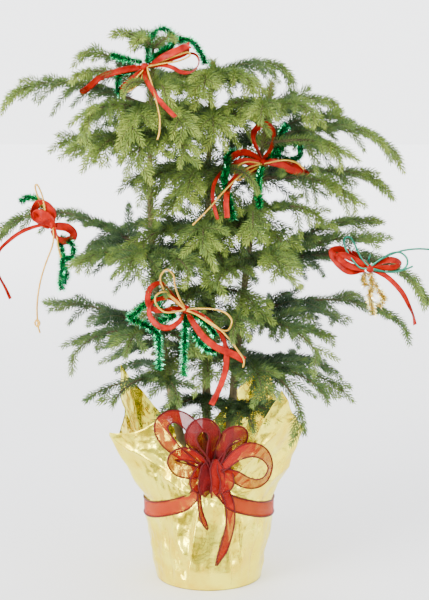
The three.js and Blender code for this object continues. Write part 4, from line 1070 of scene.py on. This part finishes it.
# A bow is tied to a stem at a height, or to a bough at a share of it, and its knot sits at an offset
# from there. All its routes are points from the knot: right, up, forward; a ribbon has a fourth
# value, how far it is turned out of the face that it shows in front, in degrees.
BOWS = {
    "crown": dict(tie=("left", 634), knot=(-9, 0, 9), ribbons=[
        (7.5, [(0, 0, 2, 20), (-17, -2, 7, 10), (-35, -6, 9, 5), (-53, -13, 9, 10), (-65, -23, 8, 20),
         (-76, -31, 8, 10)]),
        (6.0, [(0, -2, 2, 30), (-11, -11, 8, 5), (-22, -20, 11, 20), (-27, -24, 9, 80),
         (-20, -25, 5, 150), (-10, -17, 3, 170), (-2, -6, 2, 150)]),
        (5.5, [(0, -2, 3, 50), (2, -13, 22, 20), (10, -25, 44, 10), (19, -37, 62, 15), (29, -47, 76, 25),
         (38, -55, 86, 40)]),
        (8.5, [(4, 1, 3, 60), (19, 10, 7, 30), (34, 17, 9, 8), (47, 23, 8, 20), (53, 25, 3, 85),
         (48, 17, -2, 150), (33, 11, -2, 160), (18, 5, 0, 140), (4, 0, 1, 110)]),
        (5.5, [(4, 0, 3, 40), (22, 2, 8, 30), (34, -1, 9, 20), (44, -6, 8, 30), (54, -6, 5, 60),
         (62, 0, 2, 75), (64, 8, 0, 70), (59, 15, -2, 60), (47, 15, -3, 60), (24, 7, -1, 60)]),
    ], gold=[
        [(3, 0, 4), (22, 4, 9), (40, 7, 8), (53, 13, 5), (50, 17, 3), (34, 12, 4), (18, 6, 5), (3, 0, 3)],
        [(1, -1, 5), (-12, -15, 12), (-24, -28, 12), (-17, -28, 10), (-6, -18, 8), (0, -2, 5)],
        [(3, 0, 5), (5, -8, 18), (10, -21, 36), (15, -37, 60), (20, -56, 84), (20, -72, 94),
         (18, -80, 97)],
    ], tinsel=[
        [(3, 3, 0), (4, 14, -2), (4, 26, -3), (10, 38, -3), (21, 45, -2), (31, 39, -2), (34, 29, -3),
         (29, 22, -4), (19, 16, -4), (9, 10, -3)],
        [(6, 4, -4), (19, 18, -6), (34, 29, -7), (46, 32, -8), (58, 28, -9), (66, 17, -10), (72, 4, -10)],
        [(-2, 5, 2), (-17, 8, 3), (-29, 11, 2), (-38, 14, 0)],
        [(-12, -4, 2), (-29, -9, 4), (-32, -22, 5), (-28, -33, 6)],
    ]),
    "far left": dict(tie=("left", 5, 1, 1, 0.62), knot=(-1, -15, 9), ribbons=[
        (11.5, [(0, 2, 2, 60), (0, 15, 5, 25), (-7, 24, 4, 25), (-17, 25, 1, 30), (-22, 17, 2, 60),
         (-18, 9, 7, 45), (-9, 7, 9, 30), (0, 3, 5, 40)]),
        (11.0, [(0, 0, 2, 60), (-3, 8, 7, 10), (-12, 14, 9, 5), (-19, 14, 6, 50), (-14, 6, 5, 20),
         (-2, 0, 4, 20)]),
        (11.0, [(1, 0, 3, 30), (8, -1, 4, 35), (18, -3, 2, 30), (25, -10, 1, 40), (22, -17, 4, 30),
         (12, -18, 8, 40), (4, -12, 8, 50), (1, -4, 5, 40)]),
        (5.0, [(-2, 1, 3, 40), (-20, -1, 7, 30), (-38, -8, 10, 20), (-53, -19, 11, 30),
         (-63, -30, 11, 50), (-67, -46, 10, 60), (-63, -62, 10, 70), (-57, -74, 10, 60),
         (-51, -88, 10, 50)]),
    ], gold=[
        [(-6, 4, 3), (-9, 24, 4), (-12, 37, 3), (-17, 48, 2), (-20, 46, 1), (-17, 35, 1), (-11, 24, 1),
         (-5, 5, 1)],
        [(1, -2, 6), (2, -13, 9), (0, -25, 11), (-7, -43, 12), (-13, -61, 12), (-17, -79, 12),
         (-19, -97, 12), (-19, -112, 12)],
        [(-19, -112, 12), (-16, -117, 13), (-19, -121, 14), (-22, -117, 12), (-19, -113, 11),
         (-18, -122, 12), (-16, -129, 12)],
        [(3, -3, 5), (6, -13, 8), (7, -25, 8), (10, -38, 8)],
    ], tinsel=[
        [(-6, 20, 0), (-17, 30, -2), (-29, 33, -3), (-38, 28, -3)],
        [(8, -14, 3), (20, -19, 5), (26, -29, 5), (21, -39, 5), (13, -41, 4), (11, -52, 4), (9, -66, 4),
         (10, -77, 4)],
        [(9, -18, 2), (11, -30, 2), (13, -46, 2), (16, -60, 2), (12, -70, 2)],
    ]),
    "right stem": dict(tie=("right", 519), knot=(3, 0, 12), ribbons=[
        (8.5, [(0, 1, 2, 60), (-7, 16, 6, 62), (-12, 28, 7, 58), (-11, 38, 6, 40), (-4, 45, 4, 30),
         (3, 47, 2, 35), (11, 41, 0, 50), (13, 31, -1, 60), (10, 18, 0, 50), (4, 8, 1, 40),
         (1, 2, 1, 40)]),
        (8.5, [(-1, 1, 3, 40), (-11, 9, 5, 35), (-23, 13, 4, 20), (-33, 10, 2, 25), (-41, 3, 1, 50),
         (-42, -5, 3, 60), (-36, -3, 8, 35), (-28, 2, 11, 15), (-17, 2, 10, 15), (-3, -1, 6, 30)]),
        (9.0, [(1, 0, 5, 40), (11, 1, 9, 20), (20, -1, 11, 8), (32, -7, 12, 5), (44, -11, 11, 10),
         (52, -13, 6, 80), (45, -7, 1, 150), (30, 0, 0, 165), (14, 2, 2, 150), (2, 1, 3, 120)]),
        (6.5, [(-2, -2, 4, 40), (-16, -7, 9, 30), (-28, -10, 11, 30), (-32, -16, 9, 60),
         (-24, -18, 7, 110), (-12, -11, 6, 130), (-2, -3, 4, 120)]),
        (4.5, [(-36, -2, 3, 70), (-48, -8, 20, 40), (-58, -19, 45, 30), (-61, -31, 60, 20),
         (-60, -43, 68, 25), (-55, -61, 72, 35)]),
        (6.5, [(-8, -4, 6, 60), (-30, -12, 28, 40), (-42, -25, 50, 15), (-45, -40, 66, 5),
         (-44, -59, 74, 5)]),
    ], gold=[
        [(-1, -1, 7), (-17, -4, 20), (-31, -14, 44), (-47, -28, 62), (-64, -47, 72), (-80, -63, 76),
         (-84, -67, 76)],
        [(-1, -1, 6), (-19, 2, 11), (-31, -4, 12), (-35, -16, 11), (-29, -20, 12), (-14, -9, 11),
         (0, -2, 7)],
        [(0, -1, 7), (25, 4, 12), (40, 1, 13), (49, -7, 12)],
    ], tinsel=[
        [(2, 3, -1), (13, 12, -3), (19, 25, -5), (23, 37, -7), (29, 45, -9)],
        [(10, 5, -2), (19, 13, -2), (25, 23, -2), (34, 26, -2), (43, 23, -3), (46, 13, -3), (41, 5, -2),
         (29, 5, -1), (17, 9, 0)],
        [(-1, -4, 5), (-6, -16, 28), (-7, -30, 52), (-6, -47, 66)],
        [(-9, 3, -1), (-38, 12, -3), (-44, -4, 20), (-47, -20, 44), (-41, -41, 60), (-37, -61, 66)],
    ]),
    "centre front": dict(tie=("centre", 5, 1, 2, 0.88), knot=(3, 1, 13), ribbons=[
        (7.0, [(0, 0, 2, 60), (-10, 11, 6, 62), (-19, 23, 7, 65), (-29, 31, 7, 45), (-40, 26, 8, 25),
         (-44, 13, 9, 10), (-39, 2, 9, 20), (-28, -1, 8, 50), (-14, 1, 5, 60), (0, 0, 3, 50)]),
        (7.0, [(0, -1, 4, 50), (-6, -12, 10, 30), (-16, -19, 14, 20), (-26, -20, 15, 15),
         (-36, -14, 14, 15), (-42, -3, 12, 35), (-40, 8, 10, 60), (-30, 13, 8, 60), (-18, 14, 6, 45),
         (-9, 9, 5, 30), (-1, 1, 3, 40)]),
        (8.0, [(1, -1, 4, 65), (8, -13, 9, 40), (19, -29, 12, 25), (31, -40, 13, 15), (43, -47, 12, 10),
         (55, -52, 10, 10), (69, -60, 8, 15)]),
        (7.0, [(41, -26, 4, 60), (46, -40, 8, 45), (48, -54, 11, 20), (46, -73, 13, 8), (41, -88, 14, 5),
         (35, -102, 14, 5), (30, -112, 13, 10)]),
        (4.5, [(1, 0, 3, 40), (17, -6, 4, 35), (29, -15, 5, 30), (38, -25, 5, 40), (45, -38, 6, 60)]),
    ], gold=[
        [(0, 1, 6), (-7, 14, 9), (-12, 29, 10), (-14, 41, 9), (-22, 47, 8), (-29, 38, 8), (-26, 26, 9),
         (-17, 15, 10), (0, 0, 7)],
        [(0, 0, 7), (-13, -2, 12), (-25, -1, 15), (-34, 8, 15), (-34, 17, 13), (-25, 22, 12),
         (-17, 17, 12), (-7, 8, 10), (0, 0, 8)],
        [(1, 0, 7), (17, 2, 11), (35, 1, 12), (48, -4, 12), (54, -13, 12), (50, -23, 12), (41, -23, 12),
         (29, -16, 12), (14, -6, 10), (2, -1, 7)],
        [(1, -1, 7), (17, -7, 12), (35, -18, 14), (49, -31, 14), (60, -46, 13), (68, -59, 10),
         (67, -68, 9)],
    ], tinsel=[
        [(-22, 14, 0), (-43, 8, -2), (-58, -5, -2), (-65, -11, -2), (-49, -18, 2), (-34, -28, 4),
         (-31, -46, 4), (-31, -71, 4)],
        [(-36, 6, 3), (-24, -3, 4), (-14, -8, 5), (-30, -14, 4)],
        [(0, -4, 4), (0, -22, 6), (-1, -46, 7), (-2, -78, 8)],
        [(2, -6, 2), (7, -17, 4), (13, -34, 5), (23, -46, 5), (34, -49, 5)],
        [(3, -4, 1), (17, -11, 2), (29, -22, 2), (35, -31, 2)],
    ]),
    "far right": dict(tie=("right", 5, 1, 3, 0.6), knot=(0, -10, 10), ribbons=[
        (10.0, [(-6, 1, 2, 50), (-20, 13, 5, 35), (-34, 23, 6, 30), (-45, 23, 6, 35), (-44, 15, 9, 20),
         (-36, 5, 10, 20), (-24, -3, 7, 40), (-7, -1, 4, 60)]),
        (8.0, [(-3, 2, 3, 30), (-17, 10, 9, 15), (-31, 17, 11, 10), (-39, 16, 9, 40), (-33, 9, 9, 10),
         (-22, 3, 8, 20), (-6, 0, 5, 40)]),
        (6.5, [(-1, 1, 4, 20), (-13, 12, 4, 15), (-22, 20, 2, 30)]),
        (8.0, [(3, 3, 2, 50), (18, 10, 4, 35), (30, 10, 4, 30), (37, 6, 3, 60), (30, 2, 6, 30),
         (16, 1, 6, 30), (3, 0, 3, 40)]),
        (6.5, [(4, -3, 3, 40), (18, -8, 6, 25), (30, -18, 8, 15), (40, -30, 8, 20), (47, -43, 7, 40),
         (53, -56, 6, 60), (56, -69, 5, 40)]),
    ], green=[
        [(-1, 2, 5), (-11, 13, 7), (-18, 28, 8), (-24, 38, 8), (-31, 37, 7), (-31, 28, 8), (-24, 15, 9),
         (-13, 2, 8), (-1, 0, 5)],
        [(0, 2, 5), (13, 12, 7), (25, 19, 8), (36, 20, 8), (44, 13, 8), (44, 4, 8), (36, -2, 8),
         (22, -4, 7), (4, 0, 5)],
        [(1, 2, 4), (12, 10, 4), (25, 17, 4), (40, 22, 4), (58, 24, 4), (76, 23, 4)],
        [(3, -2, 4), (22, -4, 5), (37, -2, 5), (45, 0, 5), (52, 3, 5)],
    ], glitter=[
        [(-4, -4, 4), (-8, -12, 7), (-5, -20, 9)],
        [(0, -4, 5), (3, -17, 9), (0, -30, 10), (2, -42, 10), (4, -55, 10)],
        [(4, -16, 8), (12, -28, 9), (17, -36, 9), (12, -45, 9)],
    ]),
}
SATIN = Sizes(wall=0.35, cup=0.5, gathered=0.45, leave=0.12, knot_radius=4.5)
CORD = Sizes(radius=0.75, strand=0.6, twist=5.0, step=0.8, green_radius=1.25)
TIE = Sizes(radius=4.5, bridged=6)
TINSEL = Sizes(length=6.4, breadth=1.0, per_mm=14, wire=0.5, lean=82, leaning=40, bent=30)
FINENESS = dict(gold=16, green=16, tinsel=10, glitter=10)  # steps of a course for each point of its route


def tie_point(tie):
    """Where a bow is tied, and the direction of what it is tied to."""
    stem = STEMS[tie[0]]
    if len(tie) == 2:
        below, above = stem_point(stem, tie[1] - 1), stem_point(stem, tie[1] + 1)
        return (below + above) / 2, unit(above - below)
    side, whorl, mass, number, share = tie
    height, masses = WHORLS[side][whorl - 1]
    bare, boughs = masses[mass - 1]
    fork = fork_of(stem, height - BOUGH.stagger * (mass - 1), boughs, bare)[1]
    point, way = on_path(bough_path(fork, *boughs[number - 1][:4]), np.array([share]))
    return point[0], way[0]


def knot_of(bow):
    """Where a bow's knot sits."""
    return tie_point(bow["tie"])[0] + from_knot(np.zeros(3), [bow["knot"]])[0]


def bow_places():
    """Places along every ribbon, cord and tinsel of the bows."""
    places = []
    for bow in BOWS.values():
        routes = [route for _, route in bow["ribbons"]]
        routes += [route for kind in FINENESS for route in bow.get(kind, [])]
        places += [spline(from_knot(knot_of(bow), route), 3 * len(route)) for route in routes]
    return np.concatenate(places)


def satin(knot, width, route):
    """One ribbon of a bow, drawn in where it leaves the knot."""
    steps = 14 * (len(route) - 1)
    course = spline(route, steps)
    leaving = np.minimum(1, np.linspace(0, 1, steps) / SATIN.leave)
    widths = width * (SATIN.gathered + (1 - SATIN.gathered) * leaving)
    return ribbon_run(from_knot(knot, course), course[:, 3], widths, SATIN.wall, SATIN.cup)[:2]


def twine(path):
    """Cord of two strands: each runs round the path at the strand's distance, by one turn every
    twist length."""
    length = length_of(path)
    rows = int(length / CORD.step)
    middle, tangent = on_path(path, np.linspace(0, 1, rows))
    side = unit(np.cross(tangent, ASLANT))
    rise = np.cross(side, tangent)
    turn = (2 * np.pi * np.linspace(0, length, rows) / CORD.twist)[:, None]
    away = CORD.strand * (np.cos(turn) * side + np.sin(turn) * rise)
    return join([even_tube(middle + hand * away, CORD.radius, 6, ASLANT) for hand in (1, -1)])


def fringe(paths, seed):
    """Slim blades of foil all round a wire, with length, lean and bend by chance, and which of three
    tones each blade has."""
    blades = []
    for i, path in enumerate(paths):
        k = np.arange(int(length_of(path) * TINSEL.per_mm))
        base, tangent = on_path(path, (k + 0.5) / len(k))
        length = TINSEL.length * (0.6 + 0.7 * chance(seed + i, k, 1))
        lean = TINSEL.lean - TINSEL.leaning * chance(seed + i, k, 2)
        blades.append(needle_points(base, tangent, k * GOLDEN_ANGLE, length, lean,
                                    lean + TINSEL.bent * chance(seed, k, 3), TINSEL.breadth))
    blades = np.concatenate(blades)
    return blades, (chance(seed, np.arange(len(blades)), 4) * 3).astype(int)


def tie_ring(centre, axis):
    """Route of the cord that holds a bow to its bough or stem: a circle square to it."""
    a = np.linspace(0, 2 * np.pi, 25)[:, None]
    side = unit(np.cross(axis, np.array([0.2, 1.0, 0.3])))
    return centre + TIE.radius * (np.cos(a) * side + np.sin(a) * np.cross(side, axis))


def hang_bows():
    """All bows, each kind of material joined."""
    ribbons, courses = [], {kind: [] for kind in FINENESS}
    for bow in BOWS.values():
        centre, axis = tie_point(bow["tie"])
        knot = knot_of(bow)
        ribbons += [satin(knot, width, route) for width, route in bow["ribbons"]]
        ribbons.append(wrapped_knot(knot + 4 * FRONT, SATIN.knot_radius))
        tied_with = courses["green" if "green" in bow else "gold"]
        tied_with.append(tie_ring(centre, axis))
        if np.linalg.norm(knot - centre) > TIE.bridged:
            tied_with.append(spline([centre, (centre + knot) / 2, knot], 12))
        for kind, steps in FINENESS.items():
            courses[kind] += [spline(from_knot(knot, route), steps * len(route))
                              for route in bow.get(kind, [])]
    piece("bow_ribbons", join(ribbons), satin_ribbon)
    piece("gold_cords", join([twine(path) for path in courses["gold"]]), gold_cord)
    piece("green_cords", join([even_tube(path, CORD.green_radius, 8, ASLANT)
                               for path in courses["green"]]), green_cord)
    for name, kind, films in (("emerald", "tinsel", emerald_film), ("glitter", "glitter", gold_film)):
        paths = courses[kind]
        blades, tone = fringe(paths, 900 + len(paths))
        for i, film in enumerate(films):
            needle_piece(f"{name}_tinsel_{i + 1}", blades[tone == i], film)
        wires = join([even_tube(path, TINSEL.wire, 5, ASLANT) for path in paths])
        piece(f"{name}_tinsel_wire", wires, films[0])


hang_bows()

bare_places = np.concatenate([bow_places(), petal_places()])
for side, stem in STEMS.items():
    stem_bark(side, stem)
    grow(side, stem, bare_places)

# ---- studio

FLOOR = Sizes(front=-0.105, back=9.0, half_width=6.0, below=0.0004)
FLOOR_GLOW = 1.9
WALL_LIGHT = 3.8
COOL_WHITE = (0.97, 0.98, 1.0, 1)


def area_light(name, place, aim, size, power):
    """Square soft light at a place, turned to face the aim."""
    lamp = bpy.data.lights.new(name, "AREA")
    lamp.size = size
    lamp.energy = power
    holder = bpy.data.objects.new(name, lamp)
    holder.location = place
    direction = unit(np.array(aim, float) - np.array(place, float))
    holder.rotation_euler = (np.arccos(-direction[2]), 0,
                             np.arctan2(direction[1], direction[0]) - np.pi / 2)
    bpy.context.scene.collection.objects.link(holder)


def studio_floor():
    """Pale table top with a painted glow that grows with distance, so that it melts into the wall behind.
    """
    x, y0, y1 = FLOOR.half_width, FLOOR.front, FLOOR.back
    mesh = bpy.data.meshes.new("studio_floor")
    mesh.from_pydata([(*corner, -FLOOR.below) for corner in ((-x, y0), (x, y0), (x, y1), (-x, y1))],
                     [], [(0, 1, 2, 3)])
    paper = finish("studio_paper", (0.80, 0.80, 0.81), 0.8, specular=0.2, other=(0.82, 0.82, 0.83),
                   patch=0.5)
    tree = paper.node_tree
    shader = tree.nodes["Principled BSDF"].inputs
    shader["Emission Color"].default_value = COOL_WHITE
    distance = node(tree, "VectorMath", Vector=node(tree, "TexCoord").outputs["Object"])
    distance.operation = "LENGTH"
    glow = ranged(tree, distance.outputs["Value"], 0.2, 4.0, 0.0, FLOOR_GLOW, eased=True)
    tree.links.new(glow, shader["Emission Strength"])
    mesh.materials.append(paper)
    floor = bpy.data.objects.new("studio_floor", mesh)
    bpy.context.scene.collection.objects.link(floor)


def studio_air():
    """Bright wall behind the plant, and before it the softly lit room that the foil mirrors, with
    lighter and darker places and much darker below."""
    world = bpy.data.worlds.new("studio_air")
    world.use_nodes = True
    tree = world.node_tree
    glow = tree.nodes["Background"].inputs
    glow["Color"].default_value = COOL_WHITE
    way = node(tree, "TexCoord").outputs["Generated"]
    split = node(tree, "SeparateXYZ", Vector=way).outputs
    room = node(tree, "TexNoise", Scale=5.0, Detail=1.0, Vector=way).outputs["Fac"]
    before = node(tree, "Mix", Factor=ranged(tree, split["Z"], -0.72, -0.42, 0, 1, eased=True),
                  A=ranged(tree, room, 0.42, 0.58, 0.3, 1.1, eased=True),
                  B=ranged(tree, room, 0.42, 0.58, 0.8, 4.2, eased=True))
    wall = node(tree, "Mix", Factor=ranged(tree, split["Y"], 0.45, 0.85, 0, 1, eased=True),
                A=before.outputs["Result"], B=WALL_LIGHT)
    tree.links.new(wall.outputs["Result"], glow["Strength"])
    bpy.context.scene.world = world


studio_floor()
studio_air()
area_light("key_light", (-1.3, -1.5, 1.7), (0, 0, 0.35), 1.0, 70)
area_light("fill_light", (1.5, -1.2, 1.1), (0, 0, 0.35), 0.8, 16)
area_light("low_light", (-1.2, -1.3, 0.22), (0, 0, 0.08), 0.5, 12)
area_light("left_card", (-0.80, -1.25, -0.34), (0, 0, 0.08), 0.40, 16)
area_light("right_card", (0.62, -1.30, -0.30), (0, 0, 0.08), 0.25, 4)
area_light("rim_light", (0.4, 0.9, 1.9), (0, 0, 0.4), 1.0, 20)
